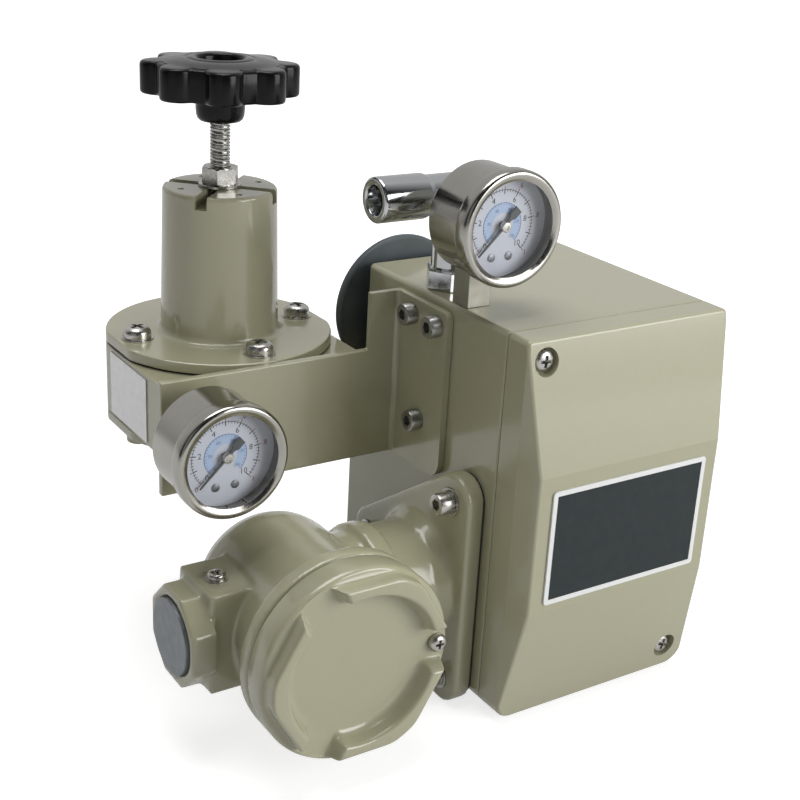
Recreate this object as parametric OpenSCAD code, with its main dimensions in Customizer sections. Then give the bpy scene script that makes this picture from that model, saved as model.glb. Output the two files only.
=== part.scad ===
// Electro-pneumatic valve positioner with air set and flameproof junction box.
// Millimetres. Origin: centre of the rear bolt pattern on the rear pad face.
// +X right seen from the front, +Y to the rear (towards the valve), +Z up.

/* [Housing] */
// Housing width
body_w = 96; // [94:1:104]
// Housing height
body_h = 156; // [154:1:164]
// Depth from the parting face to the upper rear face
body_d = 94; // [92:1:100]
// Thickness of the raised rear mounting pad
pad_t = 10; // [8:1:12]
// Height of the raised rear mounting pad
pad_h = 92; // [88:1:96]
// Casting wall thickness
wall = 5; // [4:0.5:6]
// Radius of the lower casting corners
low_r = 8; // [7:0.5:9]
// Radius of the upper casting corners
top_r = 2; // [1:0.5:3]

/* [Rear mount] */
// Bolt spacing across the pad
mount_dx = 60; // [50:1:66]
// Bolt spacing up the pad
mount_dz = 50; // [44:1:56]
// Radius of the rear bolt holes
mount_r = 4.2; // [3.2:0.1:4.6]
// Depth of the rear bolt holes
mount_depth = 12; // [9:0.5:12]

/* [Front cover] */
// Depth of the straight side wall of the cover
cover_d = 11; // [9:0.5:13]
// How far the front face stands out past the side wall
bulge = 9; // [6:0.5:11]
// Inset of the front face on each side at full bulge
bevel = 4.2; // [3:0.2:6]
// Height of the upper crease above the housing bottom
crease_hi = 106; // [104:1:110]
// Height of the lower crease above the housing bottom
crease_lo = 50; // [44:1:51]
// Cover wall thickness
cover_wall = 4; // [3:0.5:5]
// Thickness of the cover gasket
gasket_t = 0.8; // [0.6:0.1:1.2]
// Upper screw distance from the left and top edges
screw_in_hi = 8; // [7.5:0.5:9]
// Lower screw distance from the right and bottom edges
screw_in_lo = 11; // [10:0.5:12]
// Radius of the counterbore round a cover screw
cbore_r = 5; // [4.6:0.1:5.4]
// Radius of the upper screw post in the housing
post_r = 6; // [5.5:0.1:6.5]
// Length of the screw posts
post_l = 20; // [18:0.5:22]

/* [Fasteners] */
// Shank radius of the M5 screws
screw_r = 2.5; // [2:0.1:2.8]
// Head radius of the pan heads
pan_r = 4.4; // [4:0.1:4.5]
// Head height of the pan heads
pan_h = 3.4; // [3:0.1:3.8]
// Head radius of the socket heads
socket_r = 4.25; // [4:0.05:4.4]
// Head height of the socket heads
socket_h = 5; // [4.5:0.1:5.5]
// Radial clearance of a plain screw hole
hole_gap = 0.25; // [0.2:0.05:0.4]
// Radial clearance drawn at a thread
thread_gap = 0.05; // [0.03:0.01:0.08]
// Washer thickness
washer_t = 1; // [0.8:0.1:1.2]
// Washer radius
washer_r = 5.6; // [5.2:0.1:5.8]

/* [Label] */
// Label width
label_w = 75; // [70:1:78]
// Label height
label_h = 46.7; // [44:0.5:48]
// Height of the label centre above the housing bottom
label_z = 76.8; // [76:0.2:78]
// Label thickness
label_t = 0.8; // [0.6:0.1:1]
// Width of the raised label border
label_border = 2; // [1.5:0.1:2.5]

/* [Pressure gauges] */
// Bezel radius
gauge_r = 21.5; // [21:0.1:22]
// Depth from the bezel front to the case back
gauge_depth = 26; // [25:0.5:27]
// Case wall
case_t = 1; // [0.8:0.1:1.2]
// Depth of the bezel ring
bezel_d = 7; // [6:0.5:8]
// Depth of the dial face behind the bezel front
dial_y = 7.6; // [7.2:0.1:8]
// Spindle radius of the needle
spindle_r = 1.2; // [1:0.05:1.4]
// Radial running clearance of the spindle
spindle_gap = 0.05; // [0.03:0.01:0.08]
// Needle length from the spindle
needle_l = 15; // [13:0.5:16]
// Stem width across flats
stem_w = 10; // [9:0.5:10.5]
// Radius of the stem thread
stem_r = 4.8; // [4.5:0.1:5]
// Output gauge axis from the housing's left side
out_x = 7.2; // [7:0.1:9]
// Output gauge front ahead of the upper rear face
out_y = 83.8; // [82:0.2:86]
// Output gauge centre above the housing top
out_z = 33.8; // [32:0.2:36]
// Supply gauge axis from the left end of the bracket arm
sup_x = 11.5; // [11:0.5:14]
// Distance from the supply gauge front to the bracket arm
sup_y = 37; // [34:0.5:40]

/* [Output elbow] */
// Elbow riser axis from the housing's left side
elbow_x = 12; // [11:0.5:16]
// Elbow riser axis ahead of the upper rear face
elbow_y = 39; // [37:0.5:41]
// Height of the elbow outlet axis above the housing top
elbow_z = 37; // [34:0.5:40]
// Length from the riser axis to the open end
elbow_l = 36; // [32:1:40]
// Radius of the outlet barrel
barrel_r = 8.6; // [8:0.1:9]
// Radius of the outlet bore
outlet_r = 5.6; // [5:0.1:6]
// Depth of the outlet bore
outlet_l = 14; // [12:0.5:16]
// Radius of the pipe threads
pipe_r = 6.5; // [6.2:0.1:6.8]

/* [Feedback shaft] */
// Shaft axis from the housing's left side
shaft_x = 18; // [17:0.5:20]
// Shaft axis below the housing top
shaft_z = 21; // [20:0.5:23]
// Shaft radius
shaft_r = 5; // [4.5:0.1:5.5]
// Radial running clearance of the shaft
shaft_gap = 0.05; // [0.03:0.01:0.08]
// Radius of the feedback disc
disc_r = 30; // [28:0.5:31]
// Radius of the take-off pin circle
pin_pcr = 21; // [18:0.5:22]
// Radius of the take-off pin
pin_r = 3; // [2.5:0.1:3.5]
// Projection of the take-off pin past the rear pad
pin_l = 14; // [10:0.5:16]
// Clearance between parts that move past each other
run_gap = 0.3; // [0.25:0.05:0.5]

/* [Inner works] */
// Yoke width
yoke_w = 36; // [34:1:38]
// Yoke height
yoke_h = 40; // [36:1:42]
// Yoke depth
yoke_d = 42; // [40:0.5:44]
// Thickness of the yoke's back
yoke_back = 12; // [10:0.5:13]
// Thickness of the yoke's cheeks
yoke_t = 4; // [3:0.5:4.5]
// Pole radius
pole_r = 5.5; // [5:0.1:6]
// Bobbin radius
bobbin_r = 13; // [12:0.1:13.6]
// Bobbin flange thickness
bobbin_t = 3; // [2:0.2:3.4]
// Beam thickness
beam_t = 3; // [2.5:0.1:3.5]
// Beam width
beam_w = 12; // [10:0.5:13]
// Height of the beam's upper end above the motor axis
beam_up = 66; // [64:0.5:68]
// Depth of the beam's lower end below the motor axis
beam_down = 18; // [16:0.5:19]
// Nozzle block width and height
nozzle_w = 18; // [16:0.5:20]
// Nozzle height above the motor axis
nozzle_z = 55; // [54:0.5:56]
// Relay width
relay_w = 28; // [26:0.5:30]
// Relay height
relay_h = 40; // [38:0.5:42]
// Relay depth
relay_d = 20; // [18:0.5:22]
// Relay diaphragm housing radius
relay_r = 13; // [12:0.5:13.5]
// Length of the zero adjuster
zero_l = 62; // [58:0.5:64]
// Radius of the zero adjuster's knob
zero_r = 8; // [7:0.5:9]

/* [Air set bracket] */
// Bracket plate thickness
plate_t = 3; // [2.5:0.1:3.5]
// Bracket front edge ahead of the upper rear face
side_y0 = 61; // [59:0.5:62]
// Bracket arm front face ahead of the upper rear face
arm_y = 27.5; // [26:0.5:29]
// Bracket bottom edge above the housing bottom
arm_z0 = 85; // [84:0.5:86]
// Bracket arm height
arm_h = 45; // [43:0.5:47]
// Bracket side plate height
side_h = 68; // [66:0.5:69]
// Arm reach past the housing's left side
arm_l = 103.5; // [102:0.5:106]
// Width of the tall part of the arm
step_w = 15.7; // [14:0.5:18]
// Radius of the bracket corners
plate_r = 7; // [5:0.5:8]

/* [Air regulator] */
// Regulator axis from the right side of the air gap to the housing
reg_gap = 13.5; // [12:0.5:15]
// Half width of the regulator across its flats
reg_half = 43.5; // [42:0.5:44.5]
// Radius of the regulator flange
reg_r = 45; // [44.6:0.1:46]
// Height of the regulator body
reg_h = 28.5; // [27:0.5:30]
// Bottom of the regulator body above the bracket bottom edge
reg_up = 12; // [11:0.5:13]
// Thickness of the bonnet flange
flange_t = 4; // [3.5:0.5:5]
// Height of the bonnet above its flange
bonnet_h = 57.7; // [55:0.5:60]
// Bonnet radius at the bottom
bonnet_r0 = 23.4; // [22.5:0.1:24]
// Bonnet radius at the top
bonnet_r1 = 22.2; // [21.5:0.1:22.4]
// Radius of the spring chamber
chamber_r = 17; // [16:0.5:18]
// Bolt circle radius of the bonnet screws
bolt_pcr = 35.2; // [34:0.2:36]
// Diaphragm thickness
dia_t = 0.8; // [0.6:0.1:1]
// Thickness of the regulator base
base_t = 4; // [3:0.5:5]
// Wall between the inlet port and the rear bonnet screw
port_wall = 1.05; // [0.8:0.05:2]
// Width of the inlet boss
port_w = 28; // [26:1:30]
// Depth of the inlet port
inlet_l = 14; // [12:0.5:16]
// Radius of the inlet port bore
inlet_r = 6.6; // [6.4:0.1:6.9]

/* [Handwheel] */
// Adjusting screw radius
adj_r = 4; // [3.8:0.1:4.2]
// Lock nut size across flats
nut_af = 15; // [14:0.5:16]
// Lock nut height
nut_h = 7.8; // [7:0.2:8.4]
// Free screw length between the nut and the hub
free_l = 16; // [14:0.5:18]
// Handwheel radius over the lobes
wheel_r = 30; // [28:0.5:31]
// Handwheel rim thickness
wheel_t = 14; // [12:0.5:15]
// Hub radius
hub_r = 10; // [9:0.5:11]
// Hub length below the rim
hub_l = 10; // [9:0.5:12]

/* [Junction box] */
// Box axis from the housing's left side
box_x = 65; // [64:0.5:68]
// Neck axis ahead of the upper rear face
neck_y = 60; // [59:0.5:61]
// Neck axis above the housing bottom
neck_z = 46; // [45:0.5:47]
// Rim and cap radius
cap_r = 38; // [37:0.2:39]
// Cap bore radius in the box
bore_r = 28; // [27:0.1:28.5]
// Outside radius of the box behind its rim
box_r = 29.5; // [29:0.1:30.5]
// Front of the box rim ahead of the neck axis
rim_y = 36.5; // [36:0.5:37.5]
// Rear of the box behind the neck axis
box_back = 34; // [32:0.5:35]
// Neck radius
neck_r = 23; // [22:0.5:24]
// Flange plate thickness
ear_t = 8; // [7:0.5:9]
// Flange ear radius
ear_r = 11; // [10:0.5:11.5]
// Depth of the cap plate
cap_t = 10.5; // [10:0.5:11.5]
// Height of the cap lugs
lug_h = 6; // [5:0.5:7]
// Across flats of the cap lugs
lug_af = 68; // [66:0.5:70]
// Inside radius of the cap lugs
lug_in = 30; // [29:0.2:31]
// Half width of the gaps between the cap lugs
lug_gap = 9.3; // [8.5:0.1:10]
// Set screw inside the cap rim
set_in = 4.7; // [4.5:0.1:4.9]
// Half width of the conduit block
entry_half = 13.6; // [13:0.2:14.5]
// Across flats of the conduit boss
entry_af = 36; // [34:0.5:38]
// Conduit plug radius
plug_r = 14.4; // [14:0.1:15]
// Conduit thread radius
conduit_r = 10; // [9.5:0.1:10.5]

/* [Hidden] */
$fn = 48;
e = 0.01;
x_l = -body_w/2;
x_r = body_w/2;
z_bot = -pad_h/2;
z_top = z_bot+body_h;
y_rear = -pad_t;
y_part = y_rear-body_d;
y_in = y_rear-wall;
y_cov = y_part-gasket_t;
y_side = y_cov-cover_d;
y_face = y_side-bulge;
hole_r = screw_r+hole_gap;
tap_r = screw_r+thread_gap;
boss_l = 7;
boss_r = 6;
cs_hi = [x_l+screw_in_hi, z_top-screw_in_hi];
cs_lo = [x_r-screw_in_lo, z_bot+screw_in_lo];
cbore_y = y_side+2;
post_lo = screw_in_lo-wall+1;
lab_z = z_bot+label_z;
// gauges
case_r = gauge_r-1.2;
lens_r = case_r-case_t-0.1;
og_x = x_l+out_x;
og_y = y_rear-out_y;
og_z = z_top+out_z;
stem_y = gauge_depth-3;
port_l = 12;
// bracket
xb = x_l-plate_t;
yp = y_rear-side_y0;
ya = y_rear-arm_y;
yb = ya+plate_t;
za = z_bot+arm_z0;
xe = x_l-arm_l;
bs = [[yp+23.4, za+side_h-6.5], [yp+6.5, za+side_h-6.5], [yp+16, za+20]];
// regulator
rx = x_l-reg_gap-reg_half;
ry = yb+reg_r+0.5;
rz0 = za+reg_up;
rz1 = rz0+reg_h;
rz2 = rz1+dia_t;
rz3 = rz2+flange_t;
rz4 = rz3+bonnet_h;
rzm = rz0+reg_h/2;
inlet_y = bolt_pcr+hole_r+port_wall+inlet_l;
pin_hole_pcr = 16.6;
sg_x = xe+sup_x;
sg_y = ya-sup_y;
sg_z = rzm;
adj_gap = 0.05;
nut_z = rz4+1.2;
hub_z = nut_z+nut_h+free_l;
wheel_z = hub_z+hub_l;
seat_z = rz4-20;
seat_t = 6;
plate_z = rz2+3;
// feedback
fx = x_l+shaft_x;
fz = z_top-shaft_z;
bush_r = 8;
bush_y0 = y_in-11;
bush_y1 = y_rear+1.5;
disc_y0 = bush_y1+run_gap+0.7;
disc_t = 6;
lev_y = bush_y0-run_gap;
lev_l = 38;
// beam and torque motor
shelf_z = z_bot+70;
sp_x = fx+lev_l*cos(45);
sp_y = lev_y-7;
tm_x = x_r-wall-21;
tm_z = z_bot+44;
bm_y = y_in-yoke_d;
coil_gap = 0.2;
nozzle_y = y_in-30;
nozzle_gap = 0.4;
relay_x = x_l+wall+10+relay_w/2;
relay_z = z_bot+wall+8+relay_h/2;
zero_x = x_r-wall-14;
zero_z = z_top-wall-16;
// elbow
ex = x_l+elbow_x;
ey = y_rear-elbow_y;
ez = z_top+elbow_z;
// junction box
jx = x_l-box_x;
jy = y_rear-neck_y;
jz = z_bot+neck_z;
jr = jy-rim_y;
jb = jy+box_back;
gz_t = gasket_t;
ears = [[jy-19, jz+39], [jy-19, jz-37], [jy+38, jz]];
xf = x_l-gz_t;
xo = xf-ear_t;
capy = jr-0.6;
lug_y = capy-cap_t-lug_h;
entry_x0 = jx-40.5;
entry_x1 = entry_x0-9;
spig_r = bore_r-run_gap;
nip_y = yb+15;
nip_z = rzm;
gs_k = 0.8;
gs_x = 8;
d_hi = ears[2]-ears[0];
d_lo = ears[2]-ears[1];
nrm_hi = [-d_hi[1], d_hi[0]]/norm(d_hi);
nrm_lo = [d_lo[1], -d_lo[0]]/norm(d_lo);

enamel = [0.69, 0.67, 0.6];
steel = [0.75, 0.75, 0.74];
slate = [0.2, 0.24, 0.26];
brass = [0.75, 0.6, 0.3];

module along_y(y0, y1) translate([0, y1, 0]) rotate([90, 0, 0]) linear_extrude(y1-y0) children();
module along_x(x0, x1) translate([x0, 0, 0]) rotate([90, 0, 90]) linear_extrude(x1-x0) children();
module cyl_x(y, z, x0, x1, r) translate([x0, y, z]) rotate([0, 90, 0]) cylinder(h=x1-x0, r=r);
module cyl_y(x, z, y0, y1, r) translate([x, y1, z]) rotate([90, 0, 0]) cylinder(h=y1-y0, r=r);
module cyl_z(x, y, z0, z1, r) translate([x, y, z0]) cylinder(h=z1-z0, r=r);
module box(x0, x1, y0, y1, z0, z1) translate([x0, y0, z0]) cube([x1-x0, y1-y0, z1-z0]);
// profile given as radius and distance to the rear, turned about a line along Y
module spun_y(x, z) translate([x, 0, z]) rotate([-90, 0, 0]) rotate_extrude() children();

module rrect(x0, x1, z0, z1, rb, rt) {
    translate([x0, z0+rb]) square([x1-x0, z1-rt-z0-rb]);
    translate([x0+rb, z0]) square([x1-x0-2*rb, rb+0.5]);
    translate([x0+rt, z1-rt-0.5]) square([x1-x0-2*rt, rt+0.5]);
    translate([x0+rb, z0+rb]) circle(r=rb);
    translate([x1-rb, z0+rb]) circle(r=rb);
    translate([x0+rt, z1-rt]) circle(r=rt);
    translate([x1-rt, z1-rt]) circle(r=rt);
}
module outline(g=0) rrect(x_l+g, x_r-g, z_bot+g, z_top-g, max(low_r-g, 0.6), max(top_r-g, 0.6));
module cross_slot(d=1.6) {
    translate([-2.2, -0.55, -d]) cube([4.4, 1.1, d+1]);
    translate([-0.55, -2.2, -d]) cube([1.1, 4.4, d+1]);
}
// pan head screw standing on z = 0, shank downwards
module pan_screw(l) {
    difference() {
        union() {
            cylinder(h=pan_h*0.55, r=pan_r);
            translate([0, 0, pan_h*0.55-e]) cylinder(h=pan_h*0.45, r1=pan_r, r2=pan_r*0.62);
            translate([0, 0, -l]) cylinder(h=l+e, r=screw_r);
        }
        translate([0, 0, pan_h]) cross_slot();
    }
}
// socket head screw standing on z = 0, shank downwards
module socket_screw(l) {
    difference() {
        union() {
            cylinder(h=socket_h-0.5, r=socket_r);
            translate([0, 0, socket_h-0.5-e]) cylinder(h=0.5, r1=socket_r, r2=socket_r-0.5);
            translate([0, 0, -l]) cylinder(h=l+e, r=screw_r);
        }
        translate([0, 0, socket_h-2.6]) cylinder(h=4, r=2.3, $fn=6);
    }
}

module housing() {
    color(enamel)
    difference() {
        union() {
            along_y(y_part, y_rear) outline();
            along_y(y_rear-1, 0) rrect(x_l, x_r, z_bot, z_bot+pad_h, low_r, 4);
        }
        difference() {
            along_y(y_part-1, y_in) outline(wall);
            cyl_y(cs_hi[0], cs_hi[1], y_part-2, y_part+post_l, post_r);
            cyl_y(cs_lo[0], cs_lo[1], y_part-2, y_part+post_l, post_lo);
            for (b = ears) cyl_x(b[0], b[1], x_l+1, x_l+wall+boss_l, boss_r);
            cyl_x(nip_y, nip_z, x_l+1, x_l+wall+boss_l, pipe_r+4);
            cyl_z(og_x, og_y+stem_y, z_top-port_l-2, z_top-1, stem_r+3.5);
            cyl_z(ex, ey, z_top-port_l-2, z_top-1, pipe_r+3);
            cyl_y(fx, fz, bush_y0+1, y_in+1, bush_r+4);
        }
        for (sx = [-1, 1], sz = [-1, 1]) cyl_y(sx*mount_dx/2, sz*mount_dz/2, -mount_depth, 1, mount_r);
        for (s = [cs_hi, cs_lo]) cyl_y(s[0], s[1], y_part-1, y_part+16, tap_r);
        for (b = bs) cyl_x(b[0], b[1], x_l-1, x_l+wall-1, tap_r);
        for (b = ears) cyl_x(b[0], b[1], x_l-1, x_l+wall+boss_l-1, tap_r);
        cyl_x(nip_y, nip_z, x_l-1, x_l+wall+boss_l+1, pipe_r+thread_gap);
        cyl_x(jy, jz, x_l-1, x_l+wall+1, 12);
        cyl_z(og_x, og_y+stem_y, z_top-port_l-3, z_top+1, stem_r+thread_gap);
        cyl_z(ex, ey, z_top-port_l-3, z_top+1, pipe_r+thread_gap);
        cyl_y(fx, fz, bush_y0-1, y_rear+1, bush_r+thread_gap);
    }
}

module cover_gasket() {
    color([0.12, 0.12, 0.12])
    along_y(y_cov, y_part) difference() {
        outline(0.6);
        outline(wall-0.6);
    }
}

module cover_solid(g) {
    intersection() {
        along_y(y_face-1, y_cov+(g > 0 ? 1 : 0)) outline(g);
        along_x(x_l-1, x_r+1) polygon([
            [y_cov+2, z_bot+g], [y_side+g, z_bot+g], [y_face+g, z_bot+crease_lo],
            [y_face+g, z_bot+crease_hi], [y_side+g, z_top-g], [y_cov+2, z_top-g]]);
        translate([0, 0, z_bot-1]) linear_extrude(body_h+2) polygon([
            [x_l+g, y_cov+2], [x_l+g, y_side+g*0.6], [x_l+bevel+g, y_face],
            [x_r-bevel-g, y_face], [x_r-g, y_side+g*0.6], [x_r-g, y_cov+2]]);
    }
}
module front_cover() {
    color(enamel)
    difference() {
        cover_solid(0);
        difference() {
            cover_solid(cover_wall);
            cyl_y(cs_hi[0], cs_hi[1], y_face, y_cov+2, cbore_r+2);
            cyl_y(cs_lo[0], cs_lo[1], y_face, y_cov+2, screw_in_lo-cover_wall+1);
        }
        for (s = [cs_hi, cs_lo]) {
            cyl_y(s[0], s[1], y_face-1, cbore_y, cbore_r);
            cyl_y(s[0], s[1], y_face-1, y_cov+1, hole_r);
        }
    }
}
module cover_screws() {
    color(steel)
    for (s = [cs_hi, cs_lo]) translate([s[0], cbore_y, s[1]])
        rotate([90, 0, 0]) pan_screw(y_part+14-cbore_y);
}
module name_plate() {
    color(slate)
    difference() {
        along_y(y_face-label_t, y_face)
            rrect(-label_w/2, label_w/2, lab_z-label_h/2, lab_z+label_h/2, 1.5, 1.5);
        along_y(y_face-label_t-1, y_face-label_t*0.6)
            translate([-label_w/2+label_border, lab_z-label_h/2+label_border])
            square([label_w-2*label_border, label_h-2*label_border]);
    }
}

module feedback_bush() {
    color(brass)
    difference() {
        union() {
            cyl_y(fx, fz, bush_y0, bush_y1, bush_r);
            cyl_y(fx, fz, y_rear, bush_y1, bush_r+3);
        }
        cyl_y(fx, fz, bush_y0-1, bush_y1+1, shaft_r+shaft_gap);
    }
}
module feedback_shaft() {
    color(steel)
    union() {
        cyl_y(fx, fz, bush_y0-12, disc_y0+disc_t+5, shaft_r);
        cyl_y(fx, fz, disc_y0+disc_t+4.5, disc_y0+disc_t+6.5, shaft_r-0.6);
    }
}
module feedback_disc() {
    color(slate)
    difference() {
        union() {
            spun_y(fx, fz) polygon([
                [0, disc_y0+1.6], [9, disc_y0+1.6], [12, disc_y0+2.6], [disc_r-2, disc_y0],
                [disc_r-0.6, disc_y0], [disc_r, disc_y0+0.8], [disc_r, disc_y0+3.2],
                [disc_r-0.8, disc_y0+4], [12, disc_y0+disc_t], [10, disc_y0+disc_t+4],
                [0, disc_y0+disc_t+4]]);
            cyl_y(fx, fz, bush_y1+run_gap, disc_y0+2, 9);
            cyl_y(fx+pin_pcr, fz, disc_y0+2.5, disc_y0+disc_t+0.5, pin_r+2.5);
            cyl_y(fx+pin_pcr, fz, disc_y0+2.5, pin_l, pin_r);
        }
        cyl_y(fx, fz, bush_y1, disc_y0+disc_t+5, shaft_r+shaft_gap);
    }
}
module feedback_lever() {
    color(steel)
    translate([fx, lev_y, fz]) rotate([0, 45, 0]) difference() {
        union() {
            cyl_y(0, 0, -9, 0, 9);
            box(0, lev_l, -9, -5, -4.5, 4.5);
            cyl_y(lev_l, 0, -9, -5, 4.5);
            cyl_y(lev_l, 0, -12, -6, 1.6);
        }
        cyl_y(0, 0, -10, 1, shaft_r+shaft_gap);
    }
}
// square-wire coil standing on z0: a short band of a ring, drawn up with a twist
module wire_band(r, w, deg) {
    n = 5;
    polygon([for (k = [0:n]) (r-w)*[cos(deg*k/n), sin(deg*k/n)],
        for (k = [n:-1:0]) (r+w)*[cos(deg*k/n), sin(deg*k/n)]]);
}
module coil(x, y, z0, z1, r, w, turns) {
    translate([x, y, z0]) linear_extrude(height=z1-z0, twist=-360*turns, slices=turns*14, $fn=1)
        wire_band(r, w, 720*w*turns/(z1-z0));
}
module feedback_spring() {
    color(steel)
    coil(sp_x, sp_y, shelf_z+4, fz-lev_l*sin(45)-5.2, 3.6, 0.6, 6);
}
module torque_motor_yoke() {
    color([0.35, 0.36, 0.38])
    union() {
        box(tm_x-yoke_w/2, tm_x+yoke_w/2, y_in-yoke_back, y_in, tm_z-yoke_h/2, tm_z+yoke_h/2);
        for (k = [0, 1]) translate([k*(yoke_w-yoke_t), 0, 0])
            box(tm_x-yoke_w/2, tm_x-yoke_w/2+yoke_t, bm_y, y_in-yoke_back+1, tm_z-yoke_h/2, tm_z+yoke_h/2);
        cyl_y(tm_x, tm_z, bm_y+bobbin_t, y_in-yoke_back+1, pole_r);
    }
}
module torque_motor_coil() {
    y0 = bm_y+bobbin_t+2;
    y1 = y_in-yoke_back;
    color([0.55, 0.25, 0.12])
    spun_y(tm_x, tm_z) polygon([[pole_r+coil_gap, y0], [bobbin_r, y0], [bobbin_r, y0+bobbin_t],
        [bobbin_r-1.4, y0+bobbin_t], [bobbin_r-1.4, y1-bobbin_t], [bobbin_r, y1-bobbin_t], [bobbin_r, y1],
        [pole_r+coil_gap, y1]]);
}
module armature_beam() {
    color(steel)
    union() {
        box(tm_x-beam_w/2, tm_x+beam_w/2, bm_y-beam_t, bm_y, tm_z-beam_down, tm_z+beam_up);
        box(tm_x-yoke_w/2, tm_x+yoke_w/2, bm_y-beam_t, bm_y, tm_z-4, tm_z+4);
        box(sp_x-6, tm_x+1, bm_y-beam_t, bm_y, shelf_z, shelf_z+4);
        box(sp_x-6, sp_x+6, bm_y-beam_t, sp_y+6, shelf_z, shelf_z+4);
    }
}
module nozzle_block() {
    color(brass)
    difference() {
        union() {
            translate([tm_x-nozzle_w/2, nozzle_y, tm_z+nozzle_z-nozzle_w/2])
                cube([nozzle_w, y_in-nozzle_y, nozzle_w]);
            translate([tm_x, nozzle_y+1, tm_z+nozzle_z]) rotate([90, 0, 0])
                cylinder(h=nozzle_y+1-bm_y-nozzle_gap, r1=5, r2=1.6);
        }
        cyl_y(tm_x, tm_z+nozzle_z, bm_y-1, y_in-8, 0.6);
    }
}
module pilot_relay() {
    color([0.6, 0.6, 0.58])
    union() {
        box(relay_x-relay_w/2, relay_x+relay_w/2, y_in-relay_d, y_in, relay_z-relay_h/2, relay_z+relay_h/2);
        cyl_y(relay_x, relay_z, y_in-relay_d-14, y_in-relay_d+1, relay_r);
        cyl_y(relay_x, relay_z, y_in-relay_d-18, y_in-relay_d-13, relay_r-7);
    }
}
module zero_adjuster() {
    color(brass)
    difference() {
        union() {
            cyl_y(zero_x, zero_z, y_in-zero_l+12, y_in, zero_r/2);
            cyl_y(zero_x, zero_z, y_in-zero_l, y_in-zero_l+13, zero_r);
        }
        box(zero_x-zero_r-1, zero_x+zero_r+1, y_in-zero_l-1, y_in-zero_l+2, zero_z-1, zero_z+1);
    }
}

module output_elbow() {
    color(steel)
    difference() {
        union() {
            cyl_z(ex, ey, z_top-port_l, z_top+1, pipe_r);
            translate([ex, ey, z_top]) cylinder(h=8, r=9.6, $fn=6);
            cyl_z(ex, ey, z_top+7, ez, 7.4);
            translate([ex, ey, ez]) sphere(r=7.8);
            cyl_x(ey, ez, ex-elbow_l+20, ex, 7.8);
            translate([ex-elbow_l+20.5, ey, ez]) rotate([0, 90, 0]) cylinder(h=2, r1=barrel_r, r2=7.8);
            cyl_x(ey, ez, ex-elbow_l+0.8, ex-elbow_l+21, barrel_r);
            translate([ex-elbow_l, ey, ez]) rotate([0, 90, 0])
                cylinder(h=1, r1=barrel_r-0.8, r2=barrel_r);
        }
        cyl_x(ey, ez, ex-elbow_l-1, ex-elbow_l+outlet_l, outlet_r);
        cyl_x(ey, ez, ex-elbow_l+outlet_l-1, ex+1, 4);
        cyl_z(ex, ey, z_top-port_l-1, ez, 4);
    }
}

// gauge pieces, axis along Y, bezel front at y = 0
module g_case() {
    rotate([-90, 0, 0]) rotate_extrude() polygon([
        [0, gauge_depth-1.4], [case_r-case_t, gauge_depth-1.4], [case_r-case_t, 2.9], [case_r, 2.9],
        [case_r, gauge_depth-1.5], [case_r-1.5, gauge_depth], [0, gauge_depth]]);
}
module g_bezel() {
    rotate([-90, 0, 0]) rotate_extrude() polygon([
        [lens_r-1.6, 0.9], [lens_r-0.4, 0.3], [case_r-0.2, 0], [gauge_r-0.7, 0.4],
        [gauge_r-0.15, 1.1], [gauge_r, 2], [gauge_r, bezel_d-1], [gauge_r-0.5, bezel_d-0.3],
        [case_r+0.1, bezel_d], [case_r+0.1, 2.8], [lens_r+0.1, 2.8], [lens_r+0.1, 1.2],
        [lens_r-1.6, 1.2]]);
}
module g_lens() cyl_y(0, 0, 1.2, 2.8, lens_r);
module g_dial() difference() {
    cyl_y(0, 0, dial_y, dial_y+0.6, lens_r);
    cyl_y(0, 0, dial_y-1, dial_y+2, spindle_r+0.3);
}
module g_movement() difference() {
    union() {
        cyl_y(0, 0, dial_y+0.6, dial_y+4, 9);
        box(-7, 7, dial_y+3, gauge_depth-1.4, -11, 6);
        cyl_y(0, 0, gauge_depth-6, gauge_depth-1.4, 15);
    }
    cyl_y(0, 0, 0, dial_y+10.3, spindle_r+spindle_gap);
}
module g_needle() union() {
    cyl_y(0, 0, dial_y-2.6, dial_y-0.5, 2.4);
    cyl_y(0, 0, dial_y-2, dial_y+10, spindle_r);
    rotate([0, 225, 0]) along_y(dial_y-1.7, dial_y-1.1) polygon([
        [-1, 0], [-0.35, needle_l], [0.35, needle_l], [1, 0], [1, -3], [2, -5], [2, -8.5],
        [-2, -8.5], [-2, -5], [-1, -3]]);
}
module at_output() translate([og_x, og_y, og_z]) children();
module at_supply() translate([sg_x, sg_y, sg_z]) children();
module output_gauge_case() {
    color(steel)
    at_output() union() {
        g_case();
        difference() {
            box(-stem_w/2, stem_w/2, stem_y-stem_w/2, stem_y+stem_w/2, -out_z, -case_r+4);
            cyl_y(0, 0, 0, gauge_depth-0.5, case_r-0.5);
        }
        cyl_z(0, stem_y, -out_z-port_l, -out_z+1, stem_r);
    }
}
module output_gauge_bezel() { color(steel) at_output() g_bezel(); }
module output_gauge_lens() { color([0.9, 0.95, 1]) at_output() g_lens(); }
module output_gauge_dial() { color([0.95, 0.95, 0.95]) at_output() g_dial(); }
module output_gauge_movement() { color(brass) at_output() g_movement(); }
module output_gauge_needle() { color([0.1, 0.1, 0.1]) at_output() g_needle(); }
module supply_gauge_case() {
    color(steel)
    at_supply() union() {
        g_case();
        cyl_y(0, 0, gauge_depth-0.5, sup_y, 7);
        translate([0, sup_y, 0]) rotate([90, 0, 0]) cylinder(h=6, r=8, $fn=6);
        cyl_y(0, 0, sup_y-1, sup_y+plate_t+11, stem_r);
    }
}
module supply_gauge_bezel() { color(steel) at_supply() g_bezel(); }
module supply_gauge_lens() { color([0.9, 0.95, 1]) at_supply() g_lens(); }
module supply_gauge_dial() { color([0.95, 0.95, 0.95]) at_supply() g_dial(); }
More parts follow.
